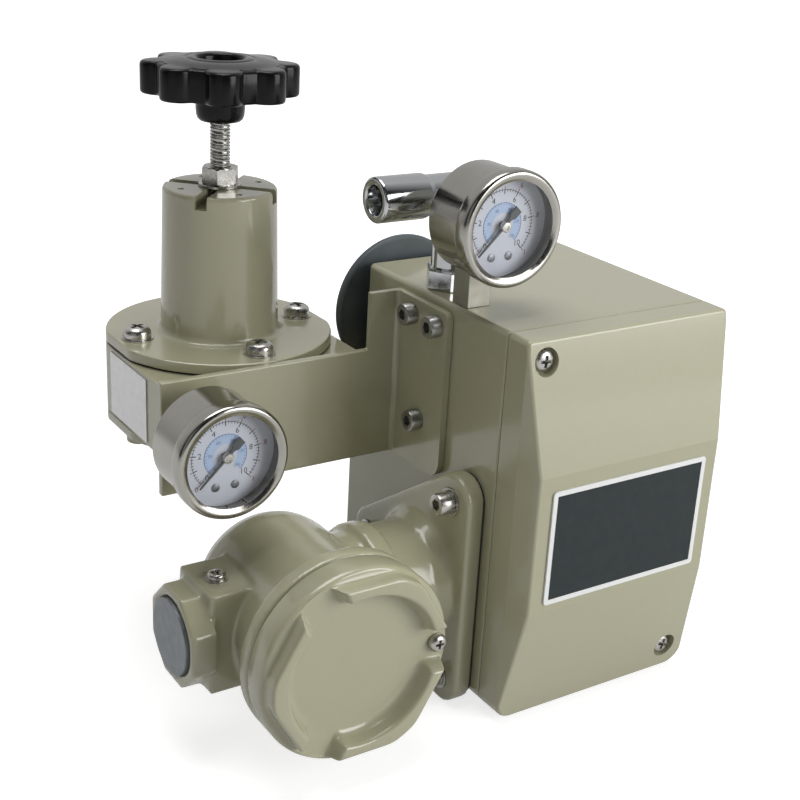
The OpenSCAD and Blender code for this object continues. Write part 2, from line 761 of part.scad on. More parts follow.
module supply_gauge_movement() { color(brass) at_supply() g_movement(); }
module supply_gauge_needle() { color([0.1, 0.1, 0.1]) at_supply() g_needle(); }

module airset_bracket() {
    color(enamel)
    difference() {
        union() {
            along_x(xb, x_l) difference() {
                translate([yp, za]) square([yb-yp, side_h]);
                translate([yp-e, za-e]) difference() {
                    square([plate_r, plate_r]);
                    translate([plate_r, plate_r]) circle(r=plate_r);
                }
                translate([yp-e, za+side_h-3]) difference() {
                    square([3, 3+e]);
                    translate([3, 0]) circle(r=3);
                }
            }
            along_y(ya, yb) union() {
                translate([xe, za]) square([arm_l-e, arm_h]);
                translate([x_l-step_w, za]) square([step_w-e, side_h]);
            }
            translate([xb-2, ya-2, za]) difference() {
                cube([2+e, 2+e, side_h]);
                translate([0, 0, -1]) cylinder(h=side_h+2, r=2);
            }
        }
        for (b = bs) cyl_x(b[0], b[1], xb-1, x_l+1, hole_r);
        cyl_y(sg_x, sg_z, ya-1, yb+1, stem_r+hole_gap);
    }
}
module bracket_screws() {
    color(steel)
    for (b = bs) translate([xb, b[0], b[1]]) rotate([0, -90, 0]) socket_screw(plate_t+wall-1.5);
}
module supply_nipple() {
    color(brass)
    difference() {
        union() {
            cyl_x(nip_y, nip_z, rx+reg_half-8, x_l+wall+boss_l, pipe_r);
            translate([rx+reg_half, nip_y, nip_z]) rotate([0, 90, 0]) cylinder(h=reg_gap, r=9.6, $fn=6);
        }
        cyl_x(nip_y, nip_z, rx+reg_half-9, x_l+wall+boss_l+1, 4);
    }
}

module reg_outline() intersection() {
    circle(r=reg_r);
    square([2*reg_half, 3*reg_r], center=true);
}
module bolt_ring() {
    for (a = [0:90:270]) rotate(a) translate([bolt_pcr, 0]) children();
}
module regulator_body() {
    color(enamel)
    difference() {
        union() {
            translate([rx, ry, rz0]) linear_extrude(reg_h) union() {
                reg_outline();
                translate([-reg_half, yb-ry]) square([2*reg_half, ry-yb]);
                translate([-port_w/2, 0]) square([port_w, inlet_y]);
            }
        }
        translate([rx, ry, 0]) bolt_ring() cyl_z(0, 0, rz0-1, rz1+1, hole_r);
        cyl_z(rx, ry, rz1-6, rz1+1, 28);
        cyl_z(rx, ry, rz0-1, rz0+15, 7);
        cyl_z(rx, ry, rz0+14, rz1, 4);
        cyl_y(sg_x, sg_z, yb-1, yb+14, stem_r+thread_gap);
        cyl_x(nip_y, nip_z, rx+reg_half-11, rx+reg_half+1, pipe_r+thread_gap);
        cyl_y(rx, rzm, ry+inlet_y-inlet_l, ry+inlet_y+1, inlet_r);
    }
}
module regulator_base() {
    color(enamel)
    translate([rx, ry, 0]) difference() {
        union() {
            translate([0, 0, rz0-base_t]) linear_extrude(base_t) reg_outline();
            bolt_ring() cyl_z(0, 0, rz0-base_t-6, rz0-base_t+1, 5);
            cyl_z(0, 0, rz0-base_t-7, rz0-base_t+1, 13);
        }
        bolt_ring() cyl_z(0, 0, rz0-base_t-5, rz0+1, tap_r);
    }
}
module regulator_bonnet() {
    color(enamel)
    translate([rx, ry, 0]) difference() {
        union() {
            translate([0, 0, rz2]) linear_extrude(flange_t) reg_outline();
            translate([0, 0, rz3-1]) cylinder(h=bonnet_h+1, r1=bonnet_r0, r2=bonnet_r1);
            translate([0, 0, rz3-e]) cylinder(h=1.6, r1=bonnet_r0+1.6, r2=bonnet_r0);
        }
        cyl_z(0, 0, rz2-1, rz4-9, chamber_r);
        cyl_z(0, 0, rz4-10, rz4+1, adj_r+adj_gap);
        bolt_ring() cyl_z(0, 0, rz2-1, rz3+1, hole_r);
        for (a = [45, 135]) rotate(a) box(-30, 30, -2.5, 2.5, rz4-5, rz4+1);
        for (a = [0:90:270]) rotate(a) cyl_z(pin_hole_pcr, 0, rz4-4, rz4+1, 1.3);
    }
}
module bonnet_screws() {
    color(steel)
    translate([rx, ry, rz3+washer_t]) bolt_ring() pan_screw(rz3+washer_t-rz0+base_t+4);
}
module bonnet_washers() {
    color(steel)
    translate([rx, ry, 0]) bolt_ring() difference() {
        cyl_z(0, 0, rz3, rz3+washer_t, washer_r);
        cyl_z(0, 0, rz3-1, rz3+washer_t+1, hole_r);
    }
}
module regulator_plate() {
    color([0.8, 0.8, 0.8])
    box(rx-reg_half-0.6, rx-reg_half, yb+17, yb+52, rz0+1.5, rz1-1.5);
}
module lock_nut() {
    color(steel)
    translate([rx, ry, 0]) difference() {
        union() {
            cyl_z(0, 0, rz4, nut_z+e, nut_af*0.62);
            intersection() {
                translate([0, 0, nut_z]) cylinder(h=nut_h, r=nut_af/2/cos(30), $fn=6);
                translate([0, 0, nut_z-4]) cylinder(h=nut_h+4, r1=nut_af, r2=nut_af*0.54);
            }
        }
        cyl_z(0, 0, rz4-1, nut_z+nut_h+1, adj_r+adj_gap);
    }
}
module adjusting_screw() {
    color(steel)
    translate([rx, ry, 0]) union() {
        cyl_z(0, 0, seat_z-3, wheel_z+3, adj_r);
        translate([0, 0, seat_z-4]) cylinder(h=1+e, r1=adj_r-1, r2=adj_r);
    }
}
module lobes(r) {
    circle(r=r*0.84);
    for (a = [0:45:315]) rotate(a+22.5) translate([r-6.6, 0]) circle(r=6.6);
}
module handwheel() {
    color([0.06, 0.06, 0.06])
    translate([rx, ry, 0]) difference() {
        union() {
            intersection() {
                translate([0, 0, wheel_z]) linear_extrude(wheel_t+2) lobes(wheel_r);
                rotate_extrude() polygon([
                    [0, wheel_z], [wheel_r-5, wheel_z], [wheel_r-2, wheel_z+1.2],
                    [wheel_r-0.5, wheel_z+3.5], [wheel_r, wheel_z+6], [wheel_r-0.8, wheel_z+9],
                    [wheel_r-3, wheel_z+11.4], [wheel_r-7, wheel_z+12.8], [14, wheel_z+wheel_t],
                    [0, wheel_z+wheel_t]]);
            }
            rotate_extrude() polygon([
                [0, hub_z], [hub_r-2.5, hub_z], [hub_r-0.8, hub_z+0.8], [hub_r, hub_z+2.6],
                [hub_r, wheel_z+1], [0, wheel_z+1]]);
        }
        cyl_z(0, 0, hub_z-1, wheel_z+4, adj_r+adj_gap);
        cyl_z(0, 0, wheel_z+wheel_t-4.5, wheel_z+wheel_t+3, 8.7);
    }
}
module upper_spring_seat() {
    color(steel)
    translate([rx, ry, 0]) difference() {
        union() {
            cyl_z(0, 0, seat_z-seat_t-4, seat_z, 8);
            cyl_z(0, 0, seat_z-seat_t, seat_z-2, chamber_r-run_gap);
        }
        cyl_z(0, 0, seat_z-4-run_gap, seat_z+1, adj_r+run_gap);
    }
}
module range_spring() {
    color(steel)
    coil(rx, ry, plate_z, seat_z-seat_t, 12, 1.7, 5);
}
module diaphragm() {
    color([0.1, 0.1, 0.1])
    translate([rx, ry, 0]) difference() {
        translate([0, 0, rz1]) linear_extrude(dia_t) intersection() {
            reg_outline();
            circle(r=reg_r-1);
        }
        bolt_ring() cyl_z(0, 0, rz1-1, rz2+1, hole_r);
        cyl_z(0, 0, rz1-1, rz2+1, 3.2);
    }
}
module diaphragm_plate() {
    color(steel)
    translate([rx, ry, 0]) union() {
        cyl_z(0, 0, rz2, plate_z, chamber_r-1);
        cyl_z(0, 0, plate_z-1, plate_z+4, 9);
        cyl_z(0, 0, rz1-4, rz2+1, 3);
    }
}
module valve_plug() {
    color(brass)
    translate([rx, ry, 0]) union() {
        cyl_z(0, 0, rz0+9, rz0+12, 6);
        translate([0, 0, rz0+12-e]) cylinder(h=2.7, r1=6, r2=4.4);
        cyl_z(0, 0, rz0+13, rz1-4, 2.4);
        cyl_z(0, 0, rz0+5, rz0+10, 3);
    }
}
module valve_spring() {
    color(steel)
    coil(rx, ry, rz0, rz0+9, 4.6, 0.7, 3);
}

// three ears joined by straight flanks
module ear_plate(x0, x1, r) {
    q = r-0.02;
    union() {
        along_x(x0, x1) polygon([ears[0]+q*[-1, 0], ears[0]+q*nrm_hi, ears[2]+q*nrm_hi, ears[2]+q*nrm_lo,
            ears[1]+q*nrm_lo, ears[1]+q*[-1, 0]]);
        for (p = ears) cyl_x(p[0], p[1], x0, x1, r);
    }
}
module junction_body() {
    color(enamel)
    difference() {
        union() {
            spun_y(jx, jz) polygon([
                [0, jr], [cap_r, jr], [cap_r, jr+6], [cap_r-0.8, jr+7], [box_r+5, jr+7.6],
                [box_r+3.4, jr+9], [box_r+2.6, jr+11.5], [box_r+2.2, jr+15], [box_r+1.2, jr+22],
                [box_r+0.4, jr+29], [box_r, jr+36], [box_r, jb-17], [box_r-0.9, jb-11.5], [box_r-3.2, jb-6.5],
                [box_r-6.6, jb-2.8], [box_r-11, jb-0.6], [box_r-15, jb], [0, jb]]);
            cyl_x(jy, jz, jx, xo+1, neck_r);
            cyl_x(jy, jz, jx+box_r-3, jx+box_r+5, neck_r+2.5);
            translate([xo-6, jy, jz]) rotate([0, 90, 0]) cylinder(h=6.5, r1=neck_r, r2=neck_r+4);
            ear_plate(xo, xf, ear_r);
            box(entry_x0, jx-20, jy-entry_half, jy+entry_half, jz-20, jz+20);
            translate([entry_x1, jy, jz]) rotate([0, 90, 0]) rotate(22.5)
                cylinder(h=10, r=entry_af/2/cos(22.5), $fn=8);
        }
        spun_y(jx, jz) polygon([
            [0, jr-1], [bore_r, jr-1], [bore_r, jr+14], [box_r-4, jr+15], [box_r-4, jb-19],
            [box_r-6, jb-13], [box_r-10, jb-9], [0, jb-9]]);
        cyl_x(jy, jz, jx, xf+1, 12);
        cyl_x(jy, jz, entry_x1-1, jx, conduit_r+thread_gap);
        cyl_x(jy, jz, entry_x1-1, entry_x1+2.5, plug_r+0.3);
        for (p = ears) cyl_x(p[0], p[1], xo-1, xf+1, hole_r);
        cyl_z(entry_x0+gs_x, jy-1.5, jz+20-9, jz+21, tap_r*gs_k);
    }
}
module flange_gasket() {
    color([0.12, 0.12, 0.12])
    difference() {
        ear_plate(xf, x_l, ear_r-1);
        cyl_x(jy, jz, xf-1, x_l+1, 13);
        for (p = ears) cyl_x(p[0], p[1], xf-1, x_l+1, hole_r);
    }
}
module flange_screws() {
    color(steel)
    for (p = ears) translate([xo-washer_t*1.8, p[0], p[1]]) rotate([0, -90, 0])
        socket_screw(washer_t*1.8+ear_t+gz_t+wall+boss_l-2.5);
}
module flange_washers() {
    color(steel)
    for (p = ears) difference() {
        union() {
            cyl_x(p[0], p[1], xo-washer_t*0.8, xo, washer_r);
            cyl_x(p[0], p[1], xo-washer_t*1.8, xo-washer_t*0.8+e, washer_r-1);
        }
        cyl_x(p[0], p[1], xo-4, xo+1, hole_r);
    }
}
// raised wall for a wrench: six flats outside, round inside, with three gaps
module cap_lugs() translate([jx, 0, jz]) rotate([-90, 0, 0]) difference() {
    translate([0, 0, lug_y]) linear_extrude(lug_h+1) intersection() {
        circle(r=cap_r-1.2);
        circle(r=lug_af/2/cos(30), $fn=6);
    }
    translate([0, 0, lug_y-1]) cylinder(h=lug_h+3, r1=lug_in+0.3, r2=lug_in-1.5);
    for (a = [0, 120, 240]) rotate(a) rotate([90, 0, 90]) linear_extrude(cap_r+5) polygon([
        [-lug_gap-0.4, lug_y-1], [lug_gap+0.4, lug_y-1],
        [lug_gap-3.6, lug_y+lug_h+2], [3.6-lug_gap, lug_y+lug_h+2]]);
}
module junction_cap() {
    color(enamel)
    difference() {
        union() {
            spun_y(jx, jz) polygon([
                [0, capy-cap_t+1.2], [lug_in-4, capy-cap_t+1.2], [lug_in-2.4, capy-cap_t],
                [cap_r-2, capy-cap_t], [cap_r-0.6, capy-cap_t+0.8], [cap_r, capy-cap_t+2.4],
                [cap_r, capy-0.6], [cap_r-0.6, capy], [spig_r, capy], [spig_r, capy+1.2],
                [spig_r-2.5, capy+1.2], [spig_r-2.5, capy+4], [spig_r, capy+4], [spig_r, capy+12],
                [spig_r-1, capy+13], [spig_r-5, capy+13], [spig_r-6, capy-1], [0, capy-cap_t+7]]);
            cap_lugs();
        }
        cyl_y(jx+cap_r-set_in, jz, capy-cap_t-1, capy+1, 2+thread_gap);
    }
}
module cap_o_ring() {
    color([0.08, 0.08, 0.08])
    spun_y(jx, jz) translate([bore_r-1.4, capy+2.6]) circle(r=1.1, $fn=24);
}
module cap_set_screw() {
    color(steel)
    translate([jx+cap_r-set_in, capy-cap_t, jz]) difference() {
        union() {
            cyl_y(0, 0, -2.6, 0, 3.5);
            cyl_y(0, 0, -0.5, cap_t-0.5, 2);
        }
        rotate([90, 0, 0]) translate([0, 0, 1]) cylinder(h=4, r=1.6, $fn=6);
    }
}
module terminal_block() {
    color([0.15, 0.15, 0.16])
    difference() {
        union() {
            box(jx-16, jx+16, jb-24, jb-9, jz-8, jz+8);
            for (k = [-2:2]) box(jx+k*7.5-0.8, jx+k*7.5+0.8, jb-28, jb-23, jz-8, jz+8);
        }
        for (k = [-1.5:1:1.5]) cyl_y(jx+k*7.5, jz, jb-25, jb-14, 1.5+thread_gap);
    }
}
module terminal_screws() {
    color(brass)
    for (k = [-1.5:1:1.5]) difference() {
        union() {
            cyl_y(jx+k*7.5, jz, jb-26, jb-24, 2.6);
            cyl_y(jx+k*7.5, jz, jb-24.5, jb-15, 1.5);
        }
        box(jx+k*7.5-3, jx+k*7.5+3, jb-27, jb-25.2, jz-0.4, jz+0.4);
    }
}
module conduit_plug() {
    color(steel)
    union() {
        cyl_x(jy, jz, entry_x1-1, entry_x1+2.5, plug_r);
        cyl_x(jy, jz, entry_x1+2, entry_x1+16, conduit_r);
    }
}
module ground_screw() {
    color(steel)
    translate([entry_x0+gs_x, jy-1.5, jz+20]) scale(gs_k) pan_screw(9);
}

housing();
cover_gasket();
front_cover();
cover_screws();
name_plate();
feedback_bush();
feedback_shaft();
feedback_disc();
feedback_lever();
feedback_spring();
torque_motor_yoke();
torque_motor_coil();
armature_beam();
nozzle_block();
pilot_relay();
zero_adjuster();
output_elbow();
output_gauge_case();
output_gauge_bezel();
output_gauge_lens();
output_gauge_dial();
output_gauge_movement();
output_gauge_needle();
supply_gauge_case();
supply_gauge_bezel();
supply_gauge_lens();
supply_gauge_dial();
supply_gauge_movement();
supply_gauge_needle();
airset_bracket();
bracket_screws();
supply_nipple();
regulator_body();
regulator_base();
regulator_bonnet();
bonnet_screws();
bonnet_washers();
regulator_plate();
lock_nut();
adjusting_screw();
handwheel();
upper_spring_seat();
range_spring();
diaphragm();
diaphragm_plate();
valve_plug();
valve_spring();
junction_body();
flange_gasket();
flange_screws();
flange_washers();
junction_cap();
cap_o_ring();
cap_set_screw();
terminal_block();
terminal_screws();
conduit_plug();
ground_screw();
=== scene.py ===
import itertools
import math
import bmesh
import bpy
from mathutils import Matrix, Vector


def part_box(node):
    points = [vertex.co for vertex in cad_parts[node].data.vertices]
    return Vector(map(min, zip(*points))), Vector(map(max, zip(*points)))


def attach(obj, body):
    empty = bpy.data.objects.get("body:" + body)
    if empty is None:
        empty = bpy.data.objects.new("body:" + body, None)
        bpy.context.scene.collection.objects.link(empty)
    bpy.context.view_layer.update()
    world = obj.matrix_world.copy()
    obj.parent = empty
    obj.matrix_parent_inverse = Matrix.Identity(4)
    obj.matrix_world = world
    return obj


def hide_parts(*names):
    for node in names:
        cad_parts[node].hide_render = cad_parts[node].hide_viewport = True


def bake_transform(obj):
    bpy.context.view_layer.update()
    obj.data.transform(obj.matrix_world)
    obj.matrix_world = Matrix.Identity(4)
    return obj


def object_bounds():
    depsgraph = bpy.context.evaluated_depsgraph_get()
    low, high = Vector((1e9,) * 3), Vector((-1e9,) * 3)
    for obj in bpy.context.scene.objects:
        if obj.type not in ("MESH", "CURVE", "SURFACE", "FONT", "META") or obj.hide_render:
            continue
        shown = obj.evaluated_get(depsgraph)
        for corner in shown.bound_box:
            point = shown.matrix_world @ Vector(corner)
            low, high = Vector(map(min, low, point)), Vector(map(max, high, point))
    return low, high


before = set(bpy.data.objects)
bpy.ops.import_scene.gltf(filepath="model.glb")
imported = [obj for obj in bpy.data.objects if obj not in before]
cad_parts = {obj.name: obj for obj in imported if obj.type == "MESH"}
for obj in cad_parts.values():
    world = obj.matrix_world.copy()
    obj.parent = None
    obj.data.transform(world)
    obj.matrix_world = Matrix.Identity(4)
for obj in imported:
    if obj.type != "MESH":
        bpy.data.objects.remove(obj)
cad_box = [[float(v) for v in corner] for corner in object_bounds()]

# Studio: a white sweep under the part, a large soft lamp on the front right, another overhead and a
# weak fill on the left, and the camera left of the front and above, as in the photograph.
scene = bpy.context.scene
scene.view_settings.view_transform = "Standard"


def in_scene(name, data):
    """A new object in the scene."""
    made = bpy.data.objects.new(name, data)
    scene.collection.objects.link(made)
    return made


azimuth, elevation, roll = math.radians(-33.68), math.radians(21.63), math.radians(3.18)
back = Vector((math.sin(azimuth) * math.cos(elevation), -math.cos(azimuth) * math.cos(elevation),
               math.sin(elevation)))
level = (-back).cross(Vector((0, 0, 1))).normalized()
upright = level.cross(-back)
camera_x = level * math.cos(roll) + upright * math.sin(roll)
camera_y = upright * math.cos(roll) - level * math.sin(roll)
camera_place = (-0.33715, -0.47142, 0.26691)
camera = in_scene("camera", bpy.data.cameras.new("camera"))
camera.data.lens = 62.5
camera.data.sensor_width = 36
camera.data.clip_start = 0.01
camera.matrix_world = Matrix.Translation(camera_place) @ Matrix(
    (camera_x, camera_y, back)).transposed().to_4x4()
scene.camera = camera

lamp_target = Vector((-0.05, -0.05, 0.06))
for lamp_name, place, watts, size in (("key", (0.7, -1.22, 0.48), 14.5, 0.9),
                                      ("fill", (-1.5, -0.9, 0.6), 1.5, 1.4),
                                      ("top", (-0.12, 0.15, 1.55), 14, 1.0)):
    lamp = bpy.data.lights.new(lamp_name, "AREA")
    lamp.energy = watts
    lamp.size = size
    lamp_object = in_scene(lamp_name, lamp)
    aim = (lamp_target - Vector(place)).to_track_quat("-Z", "Y")
    lamp_object.matrix_world = Matrix.Translation(place) @ aim.to_matrix().to_4x4()


def add_node(tree, kind, sockets=None, **options):
    """A new node in a tree: its options by name, and a value or a link for each input socket."""
    made = tree.nodes.new(kind)
    for option, value in options.items():
        setattr(made, option, value)
    for socket, value in (sockets or {}).items():
        if isinstance(value, bpy.types.NodeSocket):
            tree.links.new(value, made.inputs[socket])
        else:
            made.inputs[socket].default_value = value
    return made


def reckon(tree, operation, *values):
    """The result of a math node on numbers or sockets."""
    return add_node(tree, "ShaderNodeMath", dict(enumerate(values)), operation=operation).outputs[0]


def spread(tree, value, low, high, start=0.0, end=1.0, **options):
    """A value that runs from start to end, mapped to run from low to high."""
    return add_node(tree, "ShaderNodeMapRange", {
        "Value": value, "From Min": start, "From Max": end, "To Min": low, "To Max": high},
        **options).outputs["Result"]


world = bpy.data.worlds.new("white_room")
scene.world = world
world.use_nodes = True
sky = world.node_tree
sky_ray = add_node(sky, "ShaderNodeLightPath").outputs
sky_place = add_node(sky, "ShaderNodeTexCoord").outputs["Generated"]
sky_behind = add_node(sky, "ShaderNodeVectorMath", {0: sky_place, 1: (0.45, 0.8, 0.4)},
                      operation="DOT_PRODUCT").outputs["Value"]
sky_mirror = spread(sky, sky_behind, 0.03, 0.6, -0.05, 0.6)
sky_level = spread(sky, sky_ray["Is Glossy Ray"], 0.17, sky_mirror)
for ray in ("Is Camera Ray", "Is Transmission Ray"):
    sky_level = reckon(sky, "MAXIMUM", sky_level, sky_ray[ray])
sky_light = sky.nodes["Background"].inputs
sky_light["Color"].default_value = (1, 1, 1, 1)
sky.links.new(sky_level, sky_light["Strength"])

floor_half, floor_z = 5, cad_box[0][2] - 0.0004
floor_mesh = bpy.data.meshes.new("floor")
floor_mesh.from_pydata([(x * floor_half, y * floor_half, floor_z)
                        for x, y in ((-1, -1), (1, -1), (1, 1), (-1, 1))], [], [(0, 1, 2, 3)])
floor = in_scene("floor", floor_mesh)
floor_paint = bpy.data.materials.new("floor_paint")
floor_paint.use_nodes = True
sweep = floor_paint.node_tree
sweep.nodes.remove(sweep.nodes["Principled BSDF"])
sweep_ray = add_node(sweep, "ShaderNodeLightPath").outputs
sweep_place = add_node(sweep, "ShaderNodeTexCoord").outputs["Object"]
sweep_reach = add_node(sweep, "ShaderNodeVectorMath", {0: sweep_place}, operation="LENGTH").outputs["Value"]
sweep_rise = spread(sweep, sweep_reach, 0.74, 1.0, 0.15, 0.6, interpolation_type="SMOOTHSTEP")
sweep_seen = reckon(sweep, "MULTIPLY_ADD", sweep_ray["Is Glossy Ray"], 0.4, sweep_ray["Is Camera Ray"])
matt = add_node(sweep, "ShaderNodeBsdfDiffuse", {"Color": (0.58, 0.58, 0.58, 1)})
glow = add_node(sweep, "ShaderNodeEmission", {"Strength": reckon(sweep, "MULTIPLY", sweep_seen, sweep_rise)})
both = add_node(sweep, "ShaderNodeAddShader", {0: matt.outputs[0], 1: glow.outputs[0]})
sweep.links.new(both.outputs[0], sweep.nodes["Material Output"].inputs["Surface"])
floor_mesh.materials.append(floor_paint)

# Housing: an aluminium casting, stove-enamelled in a glossy khaki grey. The casting is the CAD
# solid with its sharp corners eased as a moulding's are, and the paint has a fine orange peel.
mm = 0.001


def finish(name, colour, rough, metallic=0.0, **more):
    """A new material of one colour and roughness, with more shader values by their sockets' names."""
    material = bpy.data.materials.new(name)
    material.use_nodes = True
    shader = material.node_tree.nodes["Principled BSDF"].inputs
    shader["Base Color"].default_value = (*colour, 1)
    shader["Roughness"].default_value = rough
    shader["Metallic"].default_value = metallic
    for socket, value in more.items():
        shader[socket.replace("_", " ")].default_value = value
    return material


def grain(material, spot, stretch=(1, 1, 1), detail=3.0):
    """Noise in spots of about that many metres, drawn out along a side by stretch."""
    tree = material.node_tree
    place = add_node(tree, "ShaderNodeTexCoord").outputs["Object"]
    turn = add_node(tree, "ShaderNodeMapping", {"Vector": place, "Scale": stretch}).outputs["Vector"]
    noise = add_node(tree, "ShaderNodeTexNoise", {"Vector": turn, "Scale": 1 / spot, "Detail": detail})
    return noise.outputs["Fac"]


def to_shader(material, result, socket):
    """Links a node's result to a socket of the material's shader."""
    material.node_tree.links.new(result, material.node_tree.nodes["Principled BSDF"].inputs[socket])


def tint(material, spot, dark, pale, **kind):
    """Colour that wanders between two close shades."""
    ramp = add_node(material.node_tree, "ShaderNodeValToRGB", {"Fac": grain(material, spot, **kind)})
    for stop, place, shade in zip(ramp.color_ramp.elements, (0.3, 0.7), (dark, pale)):
        stop.position = place
        stop.color = (*shade, 1)
    to_shader(material, ramp.outputs["Color"], "Base Color")


def gloss(material, spot, low, high, **kind):
    """Roughness that wanders between two values."""
    noise = grain(material, spot, **kind)
    to_shader(material, spread(material.node_tree, noise, low, high, 0.3, 0.7), "Roughness")


def relief(material, spot, height, strength=1.0, **kind):
    """A shallow surface relief of that height in metres."""
    bump = add_node(material.node_tree, "ShaderNodeBump", {
        "Height": grain(material, spot, **kind), "Distance": height, "Strength": strength})
    to_shader(material, bump.outputs["Normal"], "Normal")


def set_piece(mesh, name, material, slot, *nodes, body="positioner", smooth=35):
    """Puts a finished mesh into the scene as a piece on a body, in place of CAD nodes."""
    mesh.materials.clear()
    mesh.materials.append(material)
    mesh.polygons.foreach_set("material_index", [0] * len(mesh.polygons))
    mesh.shade_smooth()
    mesh.set_sharp_from_angle(angle=math.radians(smooth))
    piece = in_scene(name, mesh)
    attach(piece, body)
    if nodes:
        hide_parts(*nodes)
    return piece


def keep_flats(piece):
    """Keeps the flat faces of a piece flat beside its rounded corners."""
    piece.modifiers.new("flats", "WEIGHTED_NORMAL").keep_sharp = True
    return piece


def in_a_hole(edge):
    """True for the rim of a drilled hole: a wall beside it curves inwards in narrow strips."""
    return any(-0.45 < other.calc_face_angle_signed(0) < -0.02
               for face in edge.link_faces for other in face.edges if other is not edge)


def eased(node, edge, material, slot, body="positioner", rounds=2, sharp=28, smooth=35):
    """The CAD piece with its corners rounded off by edge metres, its holes left as drilled."""
    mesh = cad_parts[node].data.copy()
    work = bmesh.new()
    work.from_mesh(mesh)
    bmesh.ops.remove_doubles(work, verts=work.verts[:], dist=1e-6)
    bmesh.ops.dissolve_limit(work, angle_limit=math.radians(0.5), verts=work.verts[:], edges=work.edges[:])
    corners = [e for e in work.edges if len(e.link_faces) == 2
               and e.calc_face_angle(0) > math.radians(sharp) and not in_a_hole(e)]
    bmesh.ops.bevel(work, geom=corners, offset=edge, offset_type="OFFSET", segments=rounds, profile=0.5,
                    affect="EDGES", clamp_overlap=False, loop_slide=True)
    low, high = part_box(node)
    for vertex in work.verts:
        vertex.co = [min(max(value, least), most) for value, least, most in zip(vertex.co, low, high)]
    work.to_mesh(mesh)
    work.free()
    return keep_flats(set_piece(mesh, node + "_skin", material, slot, node, body=body, smooth=smooth))


enamel = finish("khaki_enamel", (0.42, 0.406, 0.275), 0.28, Coat_Weight=0.6, Coat_Roughness=0.08)
tint(enamel, 0.004, (0.418, 0.404, 0.273), (0.422, 0.408, 0.277), detail=1.0)
gloss(enamel, 0.004, 0.23, 0.24, detail=1.0)
relief(enamel, 0.0016, 0.00004, 0.5, detail=1.0)
eased("housing", 0.8 * mm, enamel, "enamel")

# Gaskets, cap ring and diaphragm: black nitrile, cut from sheet to the joint faces or moulded, and
# squeezed by the screws. Only their edges show.
rubber = finish("black_rubber", (0.02, 0.02, 0.02), 0.6)
gloss(rubber, 0.003, 0.5, 0.75)


def coat(node, material):
    """Gives a CAD piece its finish."""
    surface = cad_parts[node].data.materials
    surface.clear()
    surface.append(material)


for node in ("cover_gasket", "flange_gasket", "cap_o_ring", "diaphragm"):
    coat(node, rubber)

# Front cover: a second casting in the same enamel, with a face that stands forward between two
# creases. Its corners are rounder than the housing's; it is hollow, and two screw seats are sunk in it.


def skinned(loops, round_again=False):
    """A closed mesh over rings of points; a ring of one point is a tip."""
    work = bmesh.new()
    rings = [[work.verts.new(point) for point in loop] for loop in loops]
    steps = max(len(ring) for ring in rings)
    for low, high in zip(rings, rings[1:] + rings[:1] if round_again else rings[1:]):
        for k in range(steps):
            j = (k + 1) % steps
            patch = (low[k % len(low)], low[j % len(low)], high[j % len(high)], high[k % len(high)])
            patch = list(dict.fromkeys(patch))
            if len(patch) > 2:
                work.faces.new(patch)
    if not round_again:
        for ring in (rings[0], rings[-1]):
            if len(ring) > 2:
                work.faces.new(ring)
    bmesh.ops.remove_doubles(work, verts=work.verts[:], dist=1e-7)
    bmesh.ops.recalc_face_normals(work, faces=work.faces[:])
    return work


def turned(profile, steps=48):
    """A mesh spun round Z from pairs of radius and height."""
    closed = profile[0] == profile[-1]
    angles = [math.tau * k / steps for k in range(steps)]
    return skinned([[(radius * math.cos(angle), radius * math.sin(angle), height)
                     for angle in angles[:None if radius > 1e-8 else 1]]
                    for radius, height in profile[:-1 if closed else None]], closed)


def to_mesh(work, name):
    """The finished plain mesh of a bmesh."""
    mesh = bpy.data.meshes.new(name)
    work.to_mesh(mesh)
    work.free()
    return mesh


def block(size, place):
    """A plain block of that size, as a bar or a cutting tool, turned and moved into place."""
    work = bmesh.new()
    bmesh.ops.create_cube(work, size=1.0)
    work.transform(place @ Matrix.Diagonal((*size, 1)))
    return to_mesh(work, "block")


def baked(worker):
    """The plain mesh that an object's modifiers or its curve make; the object itself goes."""
    mesh = bpy.data.meshes.new_from_object(worker.evaluated_get(bpy.context.evaluated_depsgraph_get()))
    bpy.data.objects.remove(worker)
    return mesh


def cut(body_mesh, tool_mesh):
    """One mesh with the other cut out of it."""
    blank, tool = in_scene("blank", body_mesh), in_scene("tool", tool_mesh)
    knife = blank.modifiers.new("knife", "BOOLEAN")
    knife.operation = "DIFFERENCE"
    knife.solver = "EXACT"
    knife.object = tool
    result = baked(blank)
    bpy.data.objects.remove(tool)
    return result


def rounded_form(planes, radius, rounds=4):
    """The closed form between planes of normal and distance, its corners rounded off to that radius."""
    work = bmesh.new()
    for trio in itertools.combinations([(normal, reach - radius) for normal, reach in planes], 3):
        ways = Matrix([normal for normal, reach in trio])
        if abs(ways.determinant()) < 1e-3:
            continue
        corner = ways.inverted() @ Vector([reach for normal, reach in trio])
        if any(normal.dot(corner) > reach - radius + 2e-6 for normal, reach in planes):
            continue
        for a in range(rounds + 1):
            for b in range(rounds + 1 - a):
                way = trio[0][0] * a + trio[1][0] * b + trio[2][0] * (rounds - a - b)
                work.verts.new(corner + way.normalized() * radius)
    bmesh.ops.remove_doubles(work, verts=work.verts[:], dist=5e-6)
    skin = bmesh.ops.convex_hull(work, input=work.verts[:], use_existing_faces=False)
    bmesh.ops.delete(work, geom=list({*skin["geom_interior"], *skin["geom_unused"]}), context="VERTS")
    bmesh.ops.recalc_face_normals(work, faces=work.faces[:])
    return work


